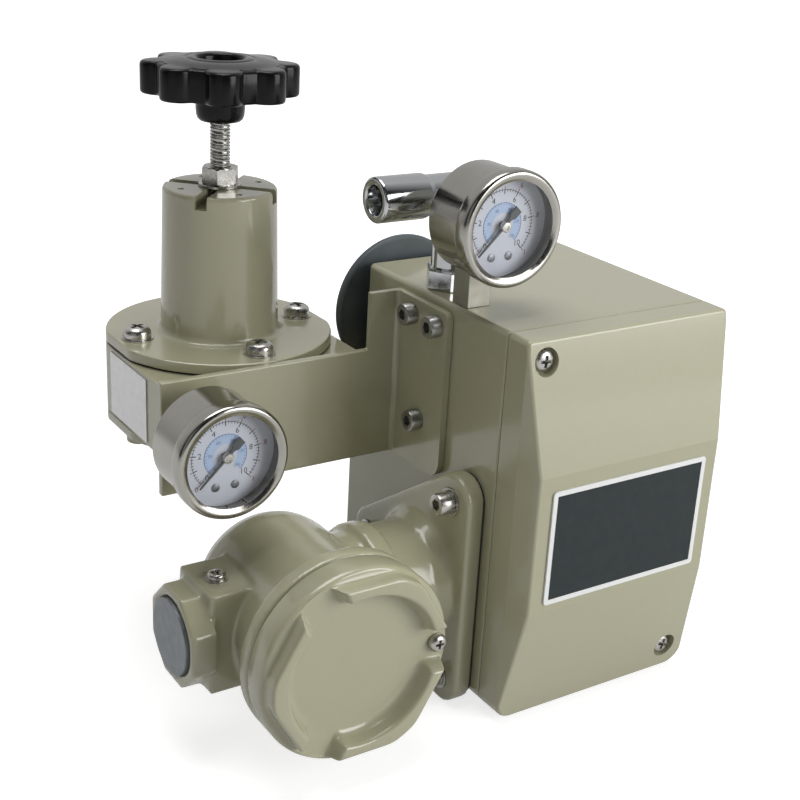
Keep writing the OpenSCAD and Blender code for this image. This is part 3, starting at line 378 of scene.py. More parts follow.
cover_low, cover_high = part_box("front_cover")
cover_edge, cover_wall, cover_seat, hollow_depth = 1.4 * mm, 4 * mm, -113.8 * mm, 14 * mm
cover_side, face_half, face_high, face_low = -115.8 * mm, 43.8 * mm, 60 * mm, 4 * mm
cover_screws = ((-40 * mm, 102 * mm), (37 * mm, -35 * mm))
sink_r, sink_ease = 5.3 * mm, 0.3 * mm
face_depth = cover_side - cover_low[1]
cover_planes = []
for normal, point in (
        ((-1, 0, 0), cover_low), ((1, 0, 0), cover_high), ((0, 0, -1), cover_low), ((0, 0, 1), cover_high),
        ((0, -1, 0), cover_low), ((0, 1, 0), Vector(cover_high) + Vector((0, cover_edge, 0))),
        ((-face_depth, face_half - cover_high[0], 0), (cover_low[0], cover_side, 0)),
        ((face_depth, face_half - cover_high[0], 0), (cover_high[0], cover_side, 0)),
        ((0, face_high - cover_high[2], face_depth), (0, cover_side, cover_high[2])),
        ((0, cover_low[2] - face_low, -face_depth), (0, cover_side, cover_low[2]))):
    normal = Vector(normal).normalized()
    cover_planes.append((normal, normal.dot(Vector(point))))
for x_side, z_edge, z_side, corner_r in ((-1, cover_low[2], -1, 8 * mm), (1, cover_low[2], -1, 8 * mm),
                                         (-1, cover_high[2], 1, 2 * mm), (1, cover_high[2], 1, 2 * mm)):
    middle = Vector((x_side * (cover_high[0] - corner_r), 0, z_edge - z_side * corner_r))
    for k in range(1, 6):
        turn = k * math.pi / 12
        normal = Vector((x_side * math.cos(turn), 0, z_side * math.sin(turn)))
        cover_planes.append((normal, normal.dot(middle) + corner_r))
cover_form = rounded_form(cover_planes, cover_edge)
trim = bmesh.ops.bisect_plane(
    cover_form, geom=cover_form.verts[:] + cover_form.edges[:] + cover_form.faces[:],
    plane_co=cover_high, plane_no=(0, 1, 0), clear_outer=True)
bmesh.ops.contextual_create(
    cover_form, geom=[e for e in trim["geom_cut"] if isinstance(e, bmesh.types.BMEdge)])
bmesh.ops.dissolve_limit(cover_form, angle_limit=math.radians(0.3), verts=cover_form.verts[:],
                         edges=cover_form.edges[:])
bmesh.ops.recalc_face_normals(cover_form, faces=cover_form.faces[:])
hollow_w, hollow_h = (cover_high[k] - cover_low[k] - 2 * cover_wall for k in (0, 2))
hollow = block((hollow_w, hollow_depth, hollow_h), Matrix.Translation(
    (0, cover_high[1], (cover_low[2] + cover_high[2]) / 2)))
cover = cut(to_mesh(cover_form, "cover_form"), hollow)
for x, z in cover_screws:
    sink = turned([(0, -cover_seat), (sink_r - sink_ease, -cover_seat), (sink_r, sink_ease - cover_seat),
                   (sink_r, mm - cover_low[1]), (0, mm - cover_low[1])], 64)
    sink.transform(Matrix.Translation((x, 0, z)) @ Matrix.Rotation(math.pi / 2, 4, "X"))
    cover = cut(cover, to_mesh(sink, "sink"))
keep_flats(set_piece(cover, "front_cover_skin", enamel, "enamel", "front_cover"))

# Label plate: a thin aluminium plate stuck on the face of the front cover, with a slate-coloured
# field inside a raised pale border.
slate = finish("slate_plate", (0.022, 0.03, 0.032), 0.5, Specular_IOR_Level=0.25)
tint(slate, 0.004, (0.02, 0.028, 0.03), (0.025, 0.033, 0.035))
relief(slate, 0.0006, 0.00001, 0.6)
pale_border = finish("label_border", (0.86, 0.87, 0.86), 0.4)
gloss(pale_border, 0.004, 0.35, 0.5)
label_low, label_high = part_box("name_plate")
border_w, field_y, field_t = 2.0 * mm, label_low[1] + 0.28 * mm, 0.1 * mm
eased("name_plate", 0.12 * mm, pale_border, "label")
field_w, field_h = (label_high[k] - label_low[k] - 2 * border_w for k in (0, 2))
field = block((field_w, field_t, field_h), Matrix.Translation(
    ((label_low[0] + label_high[0]) / 2, field_y - field_t / 2, (label_low[2] + label_high[2]) / 2)))
set_piece(field, "label_field", slate, "slate")

# Screws: zinc-plated cross-head pan screws hold the cover and the bonnet, and one the earth
# lead; black-oxided socket screws hold the bracket, and plated ones the flange. Rolled and stamped.
bright = finish("zinc_plate", (0.5, 0.49, 0.46), 0.28, 1.0)
tint(bright, 0.004, (0.42, 0.41, 0.38), (0.58, 0.57, 0.54))
gloss(bright, 0.0015, 0.2, 0.38)
shank_r, key_r = 2.5 * mm, 2.3 * mm


def pan_head(radius, height, reach):
    """Domed head with a cross recess, on z = 0, with a short shank below."""
    dome = ((1, 0), (1, 0.35), (0.97, 0.55), (0.88, 0.74), (0.72, 0.88), (0.5, 0.96), (0.25, 0.99), (0, 1))
    head = turned([(0, -reach), (shank_r, -reach), (shank_r, 0)]
                  + [(radius * across, height * up) for across, up in dome])
    mesh = to_mesh(head, "pan_blank")
    for angle in (0, math.pi / 2):
        blade = skinned([[(x * half * radius, y * thin * radius, z)
                          for x, y in ((-1, -1), (1, -1), (1, 1), (-1, 1))]
                         for half, thin, z in ((0.66, 0.17, height + mm), (0.3, 0.1, height * 0.2))])
        blade.transform(Matrix.Rotation(angle, 4, "Z"))
        mesh = cut(mesh, to_mesh(blade, "blade"))
    return mesh


def socket_head(radius, height, reach):
    """Cylinder head with an eased rim and a hexagon socket, on z = 0, with a short shank below."""
    head = turned([(0, -reach), (shank_r, -reach), (shank_r, 0), (radius - 0.2 * mm, 0), (radius, 0.3 * mm),
                   (radius, height - 0.6 * mm), (radius - 0.25 * mm, height - 0.15 * mm),
                   (radius - 0.7 * mm, height), (0, height)])
    key = turned([(0, height * 0.42), (key_r, height * 0.5), (key_r, height + mm), (0, height + mm)], 6)
    return cut(to_mesh(head, "socket_blank"), to_mesh(key, "key"))


def washer_pair(flat_radius, flat_height, spring_radius, spring_height):
    """A flat washer on z = 0 with a split spring washer on it."""
    hole, ease = 2.75 * mm, 0.12 * mm
    top = flat_height + spring_height
    pair = turned([(hole, 0), (flat_radius - ease, 0), (flat_radius, ease), (flat_radius, flat_height - ease),
                   (flat_radius - ease, flat_height), (spring_radius - ease, flat_height),
                   (spring_radius, flat_height + ease), (spring_radius, top - ease),
                   (spring_radius - ease, top), (hole, top), (hole, 0)])
    split = block((spring_radius, 0.4 * mm, spring_height * 1.3), Matrix.Translation(
        (spring_radius, 0, flat_height + spring_height * 0.5)) @ Matrix.Rotation(0.5, 4, "X"))
    return cut(to_mesh(pair, "washer_blank"), split)


def new_tree(name, result, given):
    """An empty node tree with its named inputs and one named result: the tree, and the inputs' sockets."""
    tree = bpy.data.node_groups.new(name, "GeometryNodeTree")
    tree.is_modifier = True
    for label, kind in given.items():
        tree.interface.new_socket(label, in_out="INPUT", socket_type="NodeSocket" + kind)
    tree.interface.new_socket(result, in_out="OUTPUT", socket_type="NodeSocketGeometry")
    return tree, tree.nodes.new("NodeGroupInput").outputs


def end_tree(tree, shape, material):
    """Ends a tree: its instances are made real and get their finish."""
    real = add_node(tree, "GeometryNodeRealizeInstances", {"Geometry": shape}).outputs["Geometry"]
    painted = add_node(tree, "GeometryNodeSetMaterial", {"Geometry": real, "Material": material})
    add_node(tree, "NodeGroupOutput", {0: painted.outputs["Geometry"]})
    return tree


def screw_tree():
    """Nodes that set one screw on every point, turned to its face and spun at random."""
    tree, given = new_tree("screws_on_points", "Screws", {
        "Points": "Geometry", "Screw": "Object", "Turn": "Vector", "Spin": "Float", "Finish": "Material"})
    screw = add_node(tree, "GeometryNodeObjectInfo", {"Object": given["Screw"]}).outputs["Geometry"]
    put = add_node(tree, "GeometryNodeInstanceOnPoints", {
        "Points": given["Points"], "Instance": screw, "Rotation": given["Turn"]}).outputs["Instances"]
    angle = add_node(tree, "FunctionNodeRandomValue", {3: given["Spin"], "Seed": 7},
                     data_type="FLOAT").outputs[1]
    axis = add_node(tree, "ShaderNodeCombineXYZ", {"Z": angle}).outputs["Vector"]
    spun = add_node(tree, "GeometryNodeRotateInstances", {"Instances": put, "Rotation": axis})
    return end_tree(tree, spun.outputs["Instances"], given["Finish"])


screws_on_points = screw_tree()


def run_tree(tree, base_mesh, settings, name):
    """The plain mesh that a node tree makes from a base mesh and its named settings."""
    holder = in_scene(name + "_points", base_mesh)
    modifier = holder.modifiers.new("tree", "NODES")
    modifier.node_group = tree
    for item in tree.interface.items_tree:
        if item.in_out == "INPUT" and item.name in settings:
            modifier[item.identifier] = settings[item.name]
    holder.update_tag()
    result = baked(holder)
    result.name = name
    return result


def set_screws(name, points, turn, head_mesh, material, node, body="positioner"):
    """A group of like screws as one piece in place of their CAD node."""
    base = bpy.data.meshes.new(name + "_base")
    base.from_pydata(points, [], [])
    master = in_scene(name + "_master", head_mesh)
    mesh = run_tree(screws_on_points, base, {
        "Screw": master, "Turn": turn, "Spin": math.tau, "Finish": material}, name)
    bpy.data.objects.remove(master)
    return set_piece(mesh, name, material, "steel", node, body=body, smooth=30)


FACE_FRONT, FACE_LEFT, FACE_UP = (math.pi / 2, 0, 0), (0, -math.pi / 2, 0), (0, 0, 0)
set_screws("cover_screw_heads", [(x, cover_seat, z) for x, z in cover_screws], FACE_FRONT,
           pan_head(4.3 * mm, 3.2 * mm, 8 * mm), bright, "cover_screws")

# Feedback shaft, bush and disc at the rear: a dark coated disc on a ground steel shaft in a brass
# bush, with the lever, spring, beam, motor, nozzle and relay inside the closed housing.
ground_steel = finish("ground_steel", (0.56, 0.56, 0.55), 0.3, 1.0)
gloss(ground_steel, 0.002, 0.22, 0.4)
disc_coat = finish("slate_coating", (0.07, 0.085, 0.095), 0.5)
tint(disc_coat, 0.01, (0.062, 0.077, 0.086), (0.078, 0.094, 0.104))
gloss(disc_coat, 0.004, 0.42, 0.58)
turned_brass = finish("turned_brass", (0.62, 0.45, 0.18), 0.3, 1.0)
tint(turned_brass, 0.006, (0.55, 0.39, 0.15), (0.66, 0.49, 0.22))
soft_iron = finish("plated_iron", (0.22, 0.23, 0.25), 0.45, 0.8)
gloss(soft_iron, 0.003, 0.38, 0.55)
winding = finish("copper_winding", (0.4, 0.14, 0.05), 0.4, 0.6)
relief(winding, 0.002, 0.0002, stretch=(1, 8, 1))
raw_aluminium = finish("raw_aluminium", (0.66, 0.66, 0.67), 0.4, 1.0)
gloss(raw_aluminium, 0.002, 0.32, 0.5)
eased("feedback_disc", 0.4 * mm, disc_coat, "slate", "feedback")
for node, material in (
        ("feedback_bush", turned_brass), ("feedback_shaft", ground_steel), ("feedback_lever", ground_steel),
        ("torque_motor_yoke", soft_iron), ("torque_motor_coil", winding), ("armature_beam", ground_steel),
        ("nozzle_block", turned_brass), ("pilot_relay", raw_aluminium), ("zero_adjuster", turned_brass),
        ("supply_nipple", turned_brass)):
    coat(node, material)


def set_spring(node):
    """A coil spring: a copy of the CAD node in ground steel, set in the scene in the node's place."""
    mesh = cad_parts[node].data.copy()
    mesh.materials.clear()
    mesh.materials.append(ground_steel)
    coil = in_scene(node + "_coil", mesh)
    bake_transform(coil)
    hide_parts(node)


set_spring("feedback_spring")

# Outlet elbow: a bright nickel-plated brass fitting screwed into the top of the housing, with a
# plain barrel open to the left.
nickel = finish("bright_nickel", (0.53, 0.54, 0.55), 0.1, 1.0)
gloss(nickel, 0.004, 0.06, 0.14)


def joined(meshes, place=Matrix.Identity(4)):
    """Several meshes as one, moved into place."""
    work = bmesh.new()
    for mesh in meshes:
        work.from_mesh(mesh)
    work.transform(place)
    return to_mesh(work, "joined")


def from_mm(profile, steps):
    """A turned mesh from a profile in millimetres."""
    return to_mesh(turned([(radius * mm, height * mm) for radius, height in profile], steps), "turned")


elbow_x, elbow_y, bend_z, bend_r = -36 * mm, -49 * mm, 147, 7.8
upright_parts = (
    ([(0, 98), (6.5, 98), (6.5, 110.5), (0, 110.5)], 48),
    ([(0, 110), (9.2, 110), (9.6, 110.4), (9.6, 117.2), (8.9, 118), (0, 118)], 6),
    ([(0, 117.5), (7.9, 117.5), (7.5, 118.3), (7.4, 119), (7.4, bend_z), (0, bend_z)], 64),
    ([(bend_r * math.sin(math.pi * k / 24), bend_z - bend_r * math.cos(math.pi * k / 24))
      for k in range(25)], 64))
barrel_profile = [
    (0, 0), (7.8, 0), (7.8, 13.2), (7.9, 13.8), (8.5, 15.3), (8.6, 15.9), (8.6, 35.0), (8.5, 35.5),
    (8.2, 35.85), (7.7, 36), (6.3, 36), (5.85, 35.8), (5.6, 35.4), (5.6, 22), (4, 21.4), (4, 1), (0, 1)]
elbow_upright = joined([from_mm(profile, steps) for profile, steps in upright_parts],
                       Matrix.Translation((elbow_x, elbow_y, 0)))
elbow_barrel = joined([from_mm(barrel_profile, 96)], Matrix.Translation(
    (elbow_x, elbow_y, bend_z * mm)) @ Matrix.Rotation(-math.pi / 2, 4, "Y"))
set_piece(joined([elbow_upright, elbow_barrel]), "outlet_elbow", nickel, "chrome", "output_elbow")

# Pressure gauges: a drawn stainless case and rolled bezel, a flat glass, a white printed dial on
# the movement, and a black pointer. The output gauge stands on its stem, the other has it behind.
stainless = finish("polished_stainless", (0.4, 0.39, 0.355), 0.18, 1.0)
tint(stainless, 0.02, (0.37, 0.36, 0.33), (0.43, 0.42, 0.38))
gloss(stainless, 0.0012, 0.12, 0.22, stretch=(1, 0.08, 1))
dull_plate = finish("dull_plate", (0.36, 0.35, 0.3), 0.5, 1.0)
tint(dull_plate, 0.004, (0.33, 0.32, 0.27), (0.39, 0.38, 0.33))
gloss(dull_plate, 0.002, 0.44, 0.56)
dial_white = finish("dial_white", (0.6, 0.63, 0.7), 0.5)
tint(dial_white, 0.01, (0.58, 0.61, 0.69), (0.62, 0.65, 0.72))
ink = {}
for hue, colour in (("black", (0.03, 0.03, 0.035)), ("red", (0.28, 0.06, 0.06)), ("blue", (0.08, 0.16, 0.38))):
    ink[hue] = finish("dial_ink_" + hue, colour, 0.6)
    gloss(ink[hue], 0.001, 0.5, 0.7)
band_blue = finish("dial_band_blue", (0.42, 0.54, 0.74), 0.5)
tint(band_blue, 0.004, (0.4, 0.52, 0.72), (0.44, 0.56, 0.76))
pointer_black = finish("pointer_black", (0.05, 0.055, 0.06), 0.4)
gloss(pointer_black, 0.002, 0.35, 0.5)
glass = bpy.data.materials.new("gauge_glass")
glass.use_nodes = True
pane = glass.node_tree
pane.nodes.remove(pane.nodes["Principled BSDF"])
clear = add_node(pane, "ShaderNodeBsdfTransparent")
shine = add_node(pane, "ShaderNodeBsdfGlossy", {"Roughness": 0.03})
slant = add_node(pane, "ShaderNodeLayerWeight", {"Blend": 0.5}).outputs["Facing"]
mirror = spread(pane, reckon(pane, "POWER", slant, 4.0), 0.02, 0.6)
layer = add_node(pane, "ShaderNodeMixShader", {0: mirror, 1: clear.outputs[0], 2: shine.outputs[0]})
pane.links.new(layer.outputs[0], pane.nodes["Material Output"].inputs["Surface"])


def tick_tree():
    """Nodes that lay flat ticks round a dial, from the lower left by way of the top."""
    tree, given = new_tree("ticks_round_dial", "Ticks", {
        "Base": "Geometry", "Count": "Int", "Radius": "Float", "Length": "Float", "Width": "Float",
        "Start": "Float", "Sweep": "Float", "Finish": "Material"})
    index = add_node(tree, "GeometryNodeInputIndex").outputs[0]
    share = reckon(tree, "DIVIDE", index, reckon(tree, "SUBTRACT", given["Count"], 1))
    angle = reckon(tree, "SUBTRACT", given["Start"], reckon(tree, "MULTIPLY", given["Sweep"], share))
    place = add_node(tree, "ShaderNodeCombineXYZ", {
        axis: reckon(tree, "MULTIPLY", given["Radius"], reckon(tree, wave, angle))
        for axis, wave in (("X", "COSINE"), ("Y", "SINE"))}).outputs[0]
    points = add_node(tree, "GeometryNodePoints", {"Count": given["Count"], "Position": place}).outputs[0]
    size = add_node(tree, "ShaderNodeCombineXYZ", {
        "X": given["Length"], "Y": given["Width"], "Z": 0.05 * mm}).outputs[0]
    tick = add_node(tree, "GeometryNodeMeshCube", {"Size": size}).outputs["Mesh"]
    turn = add_node(tree, "ShaderNodeCombineXYZ", {"Z": angle}).outputs[0]
    put = add_node(tree, "GeometryNodeInstanceOnPoints", {"Points": points, "Instance": tick, "Rotation": turn})
    return end_tree(tree, put.outputs["Instances"], given["Finish"])


ticks_round_dial = tick_tree()
DIAL_START, DIAL_SWEEP = math.radians(225), math.radians(270)
scale_angles = [DIAL_START - DIAL_SWEEP * k / 5 for k in range(6)]


def ticks(count, radius, length, width, material):
    """One ring of ticks over the dial's sweep, sizes in millimetres."""
    return run_tree(ticks_round_dial, bpy.data.meshes.new("dial_base"), {
        "Count": count, "Radius": radius * mm, "Length": length * mm, "Width": width * mm,
        "Start": DIAL_START, "Sweep": DIAL_SWEEP, "Finish": material}, "ticks")


def dial_ring(inner, outer, steps=90):
    """A flat printed arc over the dial's sweep, as thick as ink, its radii in millimetres."""
    corners = ((inner, 0.02), (outer, 0.02), (outer, -0.02), (inner, -0.02))
    angles = [DIAL_START - DIAL_SWEEP * k / steps for k in range(steps + 1)]
    return to_mesh(skinned([[(radius * mm * math.cos(angle), radius * mm * math.sin(angle), height * mm)
                             for radius, height in corners] for angle in angles]), "ring")


def dial_numbers(texts, radius, height):
    """Plain numbers round the dial from its start to its end, sizes in millimetres."""
    meshes = []
    for text, angle in zip(texts, scale_angles):
        curve = bpy.data.curves.new("number", "FONT")
        curve.body = text
        curve.size = height * mm
        curve.align_x = "CENTER"
        curve.align_y = "CENTER"
        curve.resolution_u = 2
        mesh = baked(in_scene("number", curve))
        mesh.transform(Matrix.Translation(
            (radius * mm * math.cos(angle), radius * mm * math.sin(angle), 0.025 * mm)))
        meshes.append(mesh)
    return meshes


# profiles and depths of the gauge in millimetres, from the front of its bezel
case_radius, print_depth, band_print_depth, rivet_depth, hub_depth = 20.6, -7.57, -7.53, -7.6, -5.0
bezel_profile = [
    (17.6, -0.9), (18.4, -0.45), (19.2, -0.12), (20.0, 0), (20.7, -0.2), (21.2, -0.7), (21.42, -1.3),
    (21.5, -2), (21.5, -6), (21.35, -6.5), (21.0, -6.8), (20.4, -7), (20.4, -2.8), (19.3, -2.8),
    (19.3, -1.2), (17.6, -1.2), (17.6, -0.9)]
rivet_profile = [(1.6, 0), (1.6, 0.25), (1.3, 0.4), (0, 0.45)]
pointer_outline = ((-0.6, 0), (-0.2, 14.8), (0.2, 14.8), (0.6, 0), (0.6, -3.4), (1.6, -5), (1.6, -8.2),
                   (-1.6, -8.2), (-1.6, -5), (-0.6, -3.4))
spindle_profile = [(0, -8), (1, -8), (1, -5.2), (0, -5.2)]
hub_profile = [(2.0, -1.2), (2.0, 0.3), (1.75, 0.55), (0.8, 0.65), (0.7, 0.4), (0, 0.4)]
for gauge, centre in (("output", Vector((-40.8, -93.8, 143.8)) * mm),
                      ("supply", Vector((-140, -74.5, 65.25)) * mm)):
    front = Matrix.Translation(centre) @ Matrix.Rotation(math.pi / 2, 4, "X")
    needle_body = gauge + "_needle"
    case = eased(gauge + "_gauge_case", 0.25 * mm, stainless, "steel").data
    case.materials.append(dull_plate)
    for face in case.polygons:
        face.material_index = int(face.center.z < centre.z - case_radius * mm)
    set_piece(joined([from_mm(bezel_profile, 128)], front), gauge + "_gauge_bezel_ring", stainless, "steel",
              gauge + "_gauge_bezel")
    for part, material in (("lens", glass), ("dial", dial_white), ("movement", turned_brass)):
        coat(gauge + "_gauge_" + part, material)
    printed = front @ Matrix.Translation((0, 0, print_depth * mm))
    on_band = front @ Matrix.Translation((0, 0, band_print_depth * mm))
    black_print = joined([dial_ring(12.9, 13.1), ticks(51, 12.6, 0.6, 0.2, ink["black"]),
                          ticks(11, 12.2, 1.5, 0.36, ink["black"]),
                          *dial_numbers(("0", "2", "4", "6", "8", "10"), 10.1, 3.1)], printed)
    set_piece(black_print, gauge + "_dial_black_print", ink["black"], "needle")
    red_print = joined([ticks(51, 13.4, 0.5, 0.16, ink["red"]), ticks(11, 13.7, 1.1, 0.28, ink["red"]),
                        *dial_numbers(("0", ".2", ".4", ".6", ".8", "1"), 15.6, 2.8)], printed)
    set_piece(red_print, gauge + "_dial_red_print", ink["red"], "needle")
    set_piece(joined([dial_ring(4.6, 8.3)], printed), gauge + "_dial_band", band_blue, "dial")
    blue_print = joined([dial_ring(8.2, 8.4), ticks(31, 7.8, 0.7, 0.14, ink["blue"]),
                         *dial_numbers(("0", "30", "60", "90", "120", "150"), 6.1, 1.7)], on_band)
    set_piece(blue_print, gauge + "_dial_blue_print", ink["blue"], "dial")
    rivets = [joined([from_mm(rivet_profile, 24)], Matrix.Translation(
        (side * mm, -11.6 * mm, rivet_depth * mm))) for side in (-3.8, 3.8)]
    set_piece(joined(rivets, front), gauge + "_dial_screws", soft_iron, "steel")
    pointer = skinned([[(x * mm, y * mm, depth * mm) for x, y in pointer_outline] for depth in (-6.5, -5.9)])
    pointer.transform(Matrix.Rotation(DIAL_START - math.pi / 2, 4, "Z"))
    pointer = joined([to_mesh(pointer, "pointer"), from_mm(spindle_profile, 24)], front)
    set_piece(pointer, gauge + "_pointer", pointer_black, "needle", gauge + "_gauge_needle", body=needle_body)
    hub = joined([from_mm(hub_profile, 32)], front @ Matrix.Translation((0, 0, hub_depth * mm)))
    set_piece(hub, gauge + "_needle_hub", bright, "steel", body=needle_body)

# Air set bracket: 3 mm steel plate bent at a right angle, enamelled, held to the housing by three
# socket screws. The regulator and the supply gauge hang on its long arm.
eased("airset_bracket", 0.5 * mm, enamel, "enamel")
dark_steel = finish("oiled_steel", (0.36, 0.36, 0.35), 0.35, 1.0)
tint(dark_steel, 0.003, (0.28, 0.28, 0.27), (0.44, 0.44, 0.42))
gloss(dark_steel, 0.0015, 0.25, 0.45)
bracket_face, bracket_holes = -51 * mm, ((-47.6, 100.5), (-64.5, 100.5), (-55, 59))
set_screws("bracket_screw_heads", [(bracket_face, y * mm, z * mm) for y, z in bracket_holes], FACE_LEFT,
           socket_head(4.25 * mm, 5 * mm, 6 * mm), dark_steel, "bracket_screws")

# Regulator: a die-cast body, base and bonnet in the same enamel, clamped over the diaphragm by
# four pan screws with washers. A thin aluminium plate is stuck on the left flat.
eased("regulator_body", 0.6 * mm, enamel, "enamel")
eased("regulator_base", 0.6 * mm, enamel, "enamel")
regulator_x, regulator_y = -105 * mm, 11 * mm
quarter_turns = [k * math.pi / 2 for k in range(4)]


def round_axis(radius, angle, height):
    """A point round the regulator's upright axis."""
    return regulator_x + radius * math.cos(angle), regulator_y + radius * math.sin(angle), height


def lofted(rings, outline, steps, capped):
    """A skin over rings of an outline that becomes a circle: how far inside the outline, the circle's
    radius, how much of it is circle, and the height, lengths in millimetres."""
    loops = []
    for inside, plain, share, height in rings:
        loop = []
        for k in range(steps):
            angle = math.tau * k / steps
            radius = (outline(angle) - inside * mm) * (1 - share) + plain * mm * share
            loop.append(round_axis(radius, angle, height * mm))
        loops.append(loop)
    return to_mesh(skinned(loops, not capped), "lofted")


def flange_outline(angle):
    """Radius of the bonnet flange: a circle with a flat on its left and right."""
    return min(45 * mm, 43.5 * mm / max(abs(math.cos(angle)), 1e-6))


bonnet_rings = [
    (0, 17, 1, 80.3), (0.4, 0, 0, 80.3), (0.1, 0, 0, 80.45), (0, 0, 0, 80.75), (0, 0, 0, 83.6),
    (0.15, 0, 0, 84.05), (0.5, 0, 0, 84.3), (0, 26.2, 1, 84.3), (0, 25.2, 1, 84.45), (0, 24.3, 1, 84.95),
    (0, 23.7, 1, 85.8), (0, 23.4, 1, 87.0), (0, 22.25, 1, 140.4), (0, 22.1, 1, 141.1), (0, 21.7, 1, 141.7),
    (0, 21.1, 1, 142), (0, 4.05, 1, 142), (0, 4.05, 1, 133), (0, 17, 1, 133)]
bonnet_top, slot_length, slot_width, slot_depth = 142 * mm, 60 * mm, 5 * mm, 5 * mm
pin_circle, bolt_circle, bonnet_flange, bonnet_washer_t = 16.6 * mm, 35.2 * mm, 84.3 * mm, 1 * mm
bonnet = lofted(bonnet_rings, flange_outline, 144, False)
for turn in quarter_turns[:2]:
    slot = block((slot_length, slot_width, 2 * slot_depth), Matrix.Translation(
        (regulator_x, regulator_y, bonnet_top)) @ Matrix.Rotation(math.pi / 4 + turn, 4, "Z"))
    bonnet = cut(bonnet, slot)
for turn in quarter_turns:
    pin = from_mm([(0, -4), (1.3, -4), (1.3, 1), (0, 1)], 24)
    pin.transform(Matrix.Translation(round_axis(pin_circle, turn, bonnet_top)))
    bonnet = cut(bonnet, pin)
keep_flats(set_piece(bonnet, "regulator_bonnet_skin", enamel, "enamel", "regulator_bonnet"))
set_screws("bonnet_screw_heads",
           [round_axis(bolt_circle, turn, bonnet_flange + bonnet_washer_t) for turn in quarter_turns], FACE_UP,
           pan_head(5.35 * mm, 4.1 * mm, 6 * mm), bright, "bonnet_screws")
set_screws("bonnet_washer_pairs",
           [round_axis(bolt_circle, turn, bonnet_flange) for turn in quarter_turns], FACE_UP,
           washer_pair(6.25 * mm, 0.45 * mm, 5.4 * mm, 0.55 * mm), bright, "bonnet_washers")
eased("regulator_plate", 0.12 * mm, raw_aluminium, "aluminium", rounds=1)
set_spring("range_spring")
for node, material in (("upper_spring_seat", ground_steel), ("diaphragm_plate", raw_aluminium),
                       ("valve_plug", turned_brass), ("valve_spring", ground_steel)):
    coat(node, material)

# Adjusting screw, lock nut and handwheel: a zinc-plated M8 screw with a rolled thread, a hexagon
# nut on its washer, and a moulded black phenolic wheel with eight lobes.
nut_flat, nut_steps, nut_turn, nut_washer_top = 6.5, 96, math.radians(4), 143.2
# radius of the cone that takes off the nut's corners, or of the round washer, at each height
nut_rings = [
    (4.05, 142), (8.2, 142), (8.4, 142.2), (8.4, 143), (8.2, 143.2), (6.6, 143.2), (7.1, 143.35), (7.5, 143.7),
    (7.6, 144), (7.6, 148.9), (7.5, 149.1), (7.1, 149.45), (6.4, 149.7), (4.5, 149.7), (4.05, 149.3)]
nut = []
for cone, height in nut_rings:
    loop = []
    for k in range(nut_steps):
        angle = math.tau * k / nut_steps
        flat = nut_flat / math.cos((angle + nut_turn) % (math.pi / 3) - math.pi / 6)
        radius = cone if height <= nut_washer_top else min(flat, cone)
        loop.append(round_axis(radius * mm, angle, height * mm))
    nut.append(loop)
set_piece(to_mesh(skinned(nut, True), "nut"), "lock_nut_and_washer", bright, "steel", "lock_nut", smooth=25)


def thread_tree():
    """Nodes that wind a rolled thread: a spiral ridge on a plain core."""
    tree, given = new_tree("rolled_thread", "Thread", {
        "Base": "Geometry", "Crest Radius": "Float", "Depth": "Float", "Pitch": "Float", "Length": "Float",
        "Finish": "Material"})
    ridge = reckon(tree, "SUBTRACT", given["Crest Radius"], reckon(tree, "MULTIPLY", given["Depth"], 0.62))
    spiral = add_node(tree, "GeometryNodeCurveSpiral", {
        "Resolution": 28, "Rotations": reckon(tree, "DIVIDE", given["Length"], given["Pitch"]),
        "Start Radius": ridge, "End Radius": ridge, "Height": given["Length"]}).outputs["Curve"]
    profile = add_node(tree, "GeometryNodeCurvePrimitiveCircle", {
        "Resolution": 6, "Radius": reckon(tree, "MULTIPLY", given["Depth"], 0.6)}).outputs["Curve"]
    wound = add_node(tree, "GeometryNodeCurveToMesh", {
        "Curve": spiral, "Profile Curve": profile, "Fill Caps": True}).outputs["Mesh"]
    core = add_node(tree, "GeometryNodeMeshCylinder", {
        "Vertices": 40, "Radius": reckon(tree, "SUBTRACT", given["Crest Radius"], given["Depth"]),
        "Depth": given["Length"]}).outputs["Mesh"]
    middle = add_node(tree, "ShaderNodeCombineXYZ", {"Z": reckon(tree, "MULTIPLY", given["Length"], 0.5)})
    lifted = add_node(tree, "GeometryNodeTransform", {"Geometry": core, "Translation": middle.outputs[0]})
    whole = add_node(tree, "GeometryNodeJoinGeometry", {0: wound})
    tree.links.new(lifted.outputs["Geometry"], whole.inputs[0])
    return end_tree(tree, whole.outputs[0], given["Finish"])


screw_low, screw_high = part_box("adjusting_screw")
screw_end = 0.7 * mm
thread = run_tree(thread_tree(), bpy.data.meshes.new("thread_base"), {
    "Crest Radius": 4 * mm, "Depth": 0.7 * mm, "Pitch": 1.25 * mm,
    "Length": screw_high[2] - screw_low[2] - 2 * screw_end, "Finish": bright}, "thread")
thread.transform(Matrix.Translation((regulator_x, regulator_y, screw_low[2] + screw_end)))
set_piece(thread, "adjusting_thread", bright, "steel", "adjusting_screw", body="adjuster")

phenolic = finish("black_phenolic", (0.006, 0.006, 0.007), 0.16, Specular_IOR_Level=0.2)
gloss(phenolic, 0.006, 0.12, 0.24)
relief(phenolic, 0.003, 0.00003, 0.5, detail=1.0)
wheel_radius, lobe_radius, wheel_foot = 30 * mm, 6.6 * mm, 177 * mm


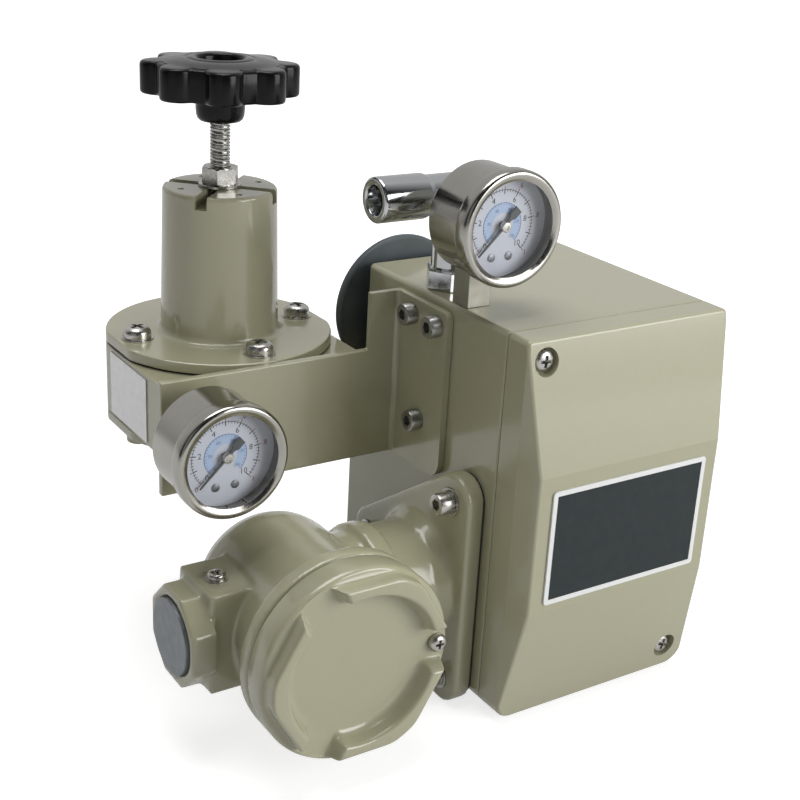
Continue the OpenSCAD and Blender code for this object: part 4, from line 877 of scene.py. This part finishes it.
def lobed(angle):
    """Outline radius of the wheel, eight lobes with filleted hollows between."""
    turn = (angle / (math.pi / 4)) % 1 - 0.5
    offset = turn * math.pi / 4
    arm = wheel_radius - lobe_radius
    reach = lobe_radius ** 2 - (arm * math.sin(offset)) ** 2
    lobe = arm * math.cos(offset) + math.sqrt(reach) if reach > 0 else 0.0
    dip = wheel_radius * 0.84
    blend = 1.6 * mm
    share = max(blend - abs(lobe - dip), 0) / blend
    return max(lobe, dip) + share * share * blend / 4


wheel_rings = [
    (0, 4.05, 1, -10.0), (0, 6.4, 1, -10.0), (0, 7.8, 1, -9.7), (0, 8.7, 1, -8.9), (0, 9.2, 1, -7.4),
    (0, 9.4, 1, -5.0), (0, 9.4, 1, -1.2), (0, 9.8, 1, -0.3), (0, 10.7, 1, 0.0), (4.0, 18.0, 0.5, 0.0),
    (1.5, 0, 0, 0.0), (0.6, 0, 0, 0.2), (0.15, 0, 0, 0.65), (0, 0, 0, 1.4), (0, 0, 0, 10.6), (0.12, 0, 0, 11.2),
    (0.45, 0, 0, 11.75), (1.0, 0, 0, 12.1), (1.8, 0, 0, 12.25), (2.6, 23.4, 0.35, 12.35), (0, 22.6, 0.9, 12.5),
    (0, 21.4, 1, 12.7), (0, 19.4, 1, 13.1), (0, 17.0, 1, 13.4), (0, 15.0, 1, 13.6), (0, 13.2, 1, 13.7),
    (0, 12.9, 1, 13.55), (0, 12.5, 1, 13.75), (0, 10.8, 1, 14.0), (0, 9.8, 1, 13.95), (0, 9.2, 1, 13.6),
    (0, 8.8, 1, 12.8), (0, 8.7, 1, 9.8), (0, 8.0, 1, 9.5)]
wheel = lofted(wheel_rings, lobed, 320, True)
wheel.transform(Matrix.Translation((0, 0, wheel_foot)))
set_piece(wheel, "lobed_handwheel", phenolic, "black_plastic", "handwheel", body="adjuster", smooth=40)

# Terminal box: a cast body turned and flared to its rim, with neck, three-eared flange and conduit
# block, screwed to the housing's side; a screwed cap with raised lugs closes the front.


def cast(node, grid, passes, material, slot):
    """The CAD piece as a casting: its corners and the hollows between its forms run into each other."""
    blank = in_scene(node + "_blank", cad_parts[node].data.copy())
    remesh = blank.modifiers.new("grid", "REMESH")
    remesh.mode = "VOXEL"
    remesh.voxel_size = grid
    soften = blank.modifiers.new("soften", "SMOOTH")
    soften.factor = 0.5
    soften.iterations = passes
    return set_piece(baked(blank), node + "_skin", material, slot, node, smooth=60)


cast("junction_body", 1.0 * mm, 5, enamel, "enamel")
cap_x, cap_z, cap_joint, cap_steps = -113 * mm, 0.0, -107.1 * mm, 720
lug_gaps, gap_foot, gap_slope, lug_flat, lug_corner = (0, 120, 240), 6.0, 3.4, 34.0, 36.4
# rings from the centre: plain radius, or how far inside the six flats, then the plate's height and
# the lug's
cap_rings = [
    (0, None, 9.3, 9.3), (10, None, 9.3, 9.3), (18, None, 9.3, 9.3), (24, None, 9.3, 9.3),
    (25.2, None, 9.33, 9.36), (26.2, None, 9.4, 9.6), (27.0, None, 9.48, 10.0), (27.7, None, 9.56, 10.7),
    (28.2, None, 9.62, 11.6), (28.6, None, 9.68, 12.7), (29.0, None, 9.74, 14.0), (29.3, None, 9.8, 15.0),
    (29.6, None, 9.85, 15.75), (29.95, None, 9.9, 16.2), (30.4, None, 9.96, 16.45), (30.9, None, 10.04, 16.5),
    (None, 1.3, 10.2, 16.5), (None, 0.8, 10.25, 16.42), (None, 0.4, 10.3, 16.15), (None, 0.15, 10.32, 15.7),
    (None, 0.05, 10.35, 15), (None, 0, 10.38, 13.5), (None, -0.05, 10.4, 11.9), (None, -0.2, 10.42, 11.2),
    (None, -0.45, 10.44, 10.7), (None, -0.7, 10.45, 10.5), (36.7, None, 10.45, 10.45), (37.2, None, 10.2, 10.2),
    (37.6, None, 9.75, 9.75), (37.88, None, 9.1, 9.1), (38, None, 8.3, 8.3), (38, None, 0.8, 0.8),
    (37.8, None, 0.3, 0.3), (37.4, None, 0, 0), (27.7, None, 0, 0), (27.7, None, -1.2, -1.2),
    (25.2, None, -1.2, -1.2), (25.2, None, -4, -4), (27.7, None, -4, -4), (27.7, None, -12, -12),
    (26.7, None, -13, -13), (22.7, None, -13, -13), (21.7, None, 1, 1), (0, None, 3.5, 3.5)]


def lug_outline(angle):
    """Outer radius of the lugs at an angle in degrees: six flats with rounded corners."""
    flat = lug_flat / math.cos(math.radians((angle % 60) - 30))
    blend = 1.2
    share = max(blend - abs(flat - lug_corner), 0) / blend
    return min(flat, lug_corner) - share * share * blend / 4


def lug_share(angle, radius):
    """How much of a lug stands there: nothing in a gap, sloping up to one past its end."""
    aside = min(abs((angle - gap + 180) % 360 - 180) for gap in lug_gaps)
    rise = min(max((math.radians(aside) * radius - gap_foot) / gap_slope, 0), 1)
    return rise * rise * (3 - 2 * rise)


cap_loops = []
for plain, inside, plate, lug in cap_rings:
    loop = []
    for k in range(1 if plain == 0 else cap_steps):
        angle = 360 * k / cap_steps
        radius = plain if inside is None else lug_outline(angle) - inside
        height = plate + (lug - plate) * lug_share(angle, radius)
        loop.append((cap_x + radius * mm * math.cos(math.radians(angle)), cap_joint - height * mm,
                     cap_z + radius * mm * math.sin(math.radians(angle))))
    cap_loops.append(loop)
set_piece(to_mesh(skinned(cap_loops), "cap"), "junction_cap_skin", enamel, "enamel", "junction_cap", body="cap",
          smooth=50)
flange_face, flange_washer_t, ears = -56.8 * mm, 1.8 * mm, ((-89, 39), (-89, -37), (-32, 0))
set_screws("flange_screw_heads", [(flange_face - flange_washer_t, y * mm, z * mm) for y, z in ears], FACE_LEFT,
           socket_head(4.25 * mm, 5 * mm, 6 * mm), bright, "flange_screws")
set_screws("flange_washer_pairs", [(flange_face, y * mm, z * mm) for y, z in ears], FACE_LEFT,
           washer_pair(5.6 * mm, 0.8 * mm, 4.6 * mm, 1.0 * mm), bright, "flange_washers")
set_screws("cap_set_screw_head", [(cap_x + 33.3 * mm, cap_joint - 10.5 * mm, cap_z)], FACE_FRONT,
           pan_head(3.5 * mm, 2.6 * mm, 8 * mm), bright, "cap_set_screw", "cap")
earth_x, earth_y, block_top, earth_washer_t = -145.5 * mm, -71.5 * mm, 20 * mm, 0.5 * mm
earth_head = pan_head(3.4 * mm, 2.4 * mm, 6 * mm)
earth_head.transform(Matrix.Translation((0, 0, earth_washer_t)))
earth_washer = from_mm([(2.3, 0), (4.1, 0), (4.2, 0.1), (4.2, 0.4), (4.1, 0.5), (2.3, 0.5), (2.3, 0)], 48)
set_screws("ground_screw_head", [(earth_x, earth_y, block_top)], FACE_UP, joined([earth_head, earth_washer]),
           bright, "ground_screw")
sign_x, sign_thick, sign_proud = -144.5 * mm, 0.7 * mm, 0.05 * mm
# the sign's bars in millimetres: place, length and width
sign_bars = ((-65.6, 6.4, 0.7), (-64.2, 4.2, 0.7), (-62.8, 2.0, 0.7), (-66.6, 0.7, 1.6))
earth_sign = joined([block((length * mm, width * mm, sign_thick), Matrix.Translation(
    (sign_x, y * mm, block_top + sign_proud))) for y, length, width in sign_bars])
set_piece(earth_sign, "earth_sign", enamel, "enamel")
plug_grey = finish("slate_plug", (0.24, 0.26, 0.28), 0.4, 0.6)
tint(plug_grey, 0.004, (0.21, 0.23, 0.25), (0.27, 0.29, 0.31))
gloss(plug_grey, 0.002, 0.36, 0.5)
eased("conduit_plug", 0.3 * mm, plug_grey, "aluminium")
moulding = finish("terminal_moulding", (0.03, 0.03, 0.032), 0.5)
gloss(moulding, 0.002, 0.42, 0.6)
for node, material in (("terminal_block", moulding), ("terminal_screws", turned_brass)):
    coat(node, material)
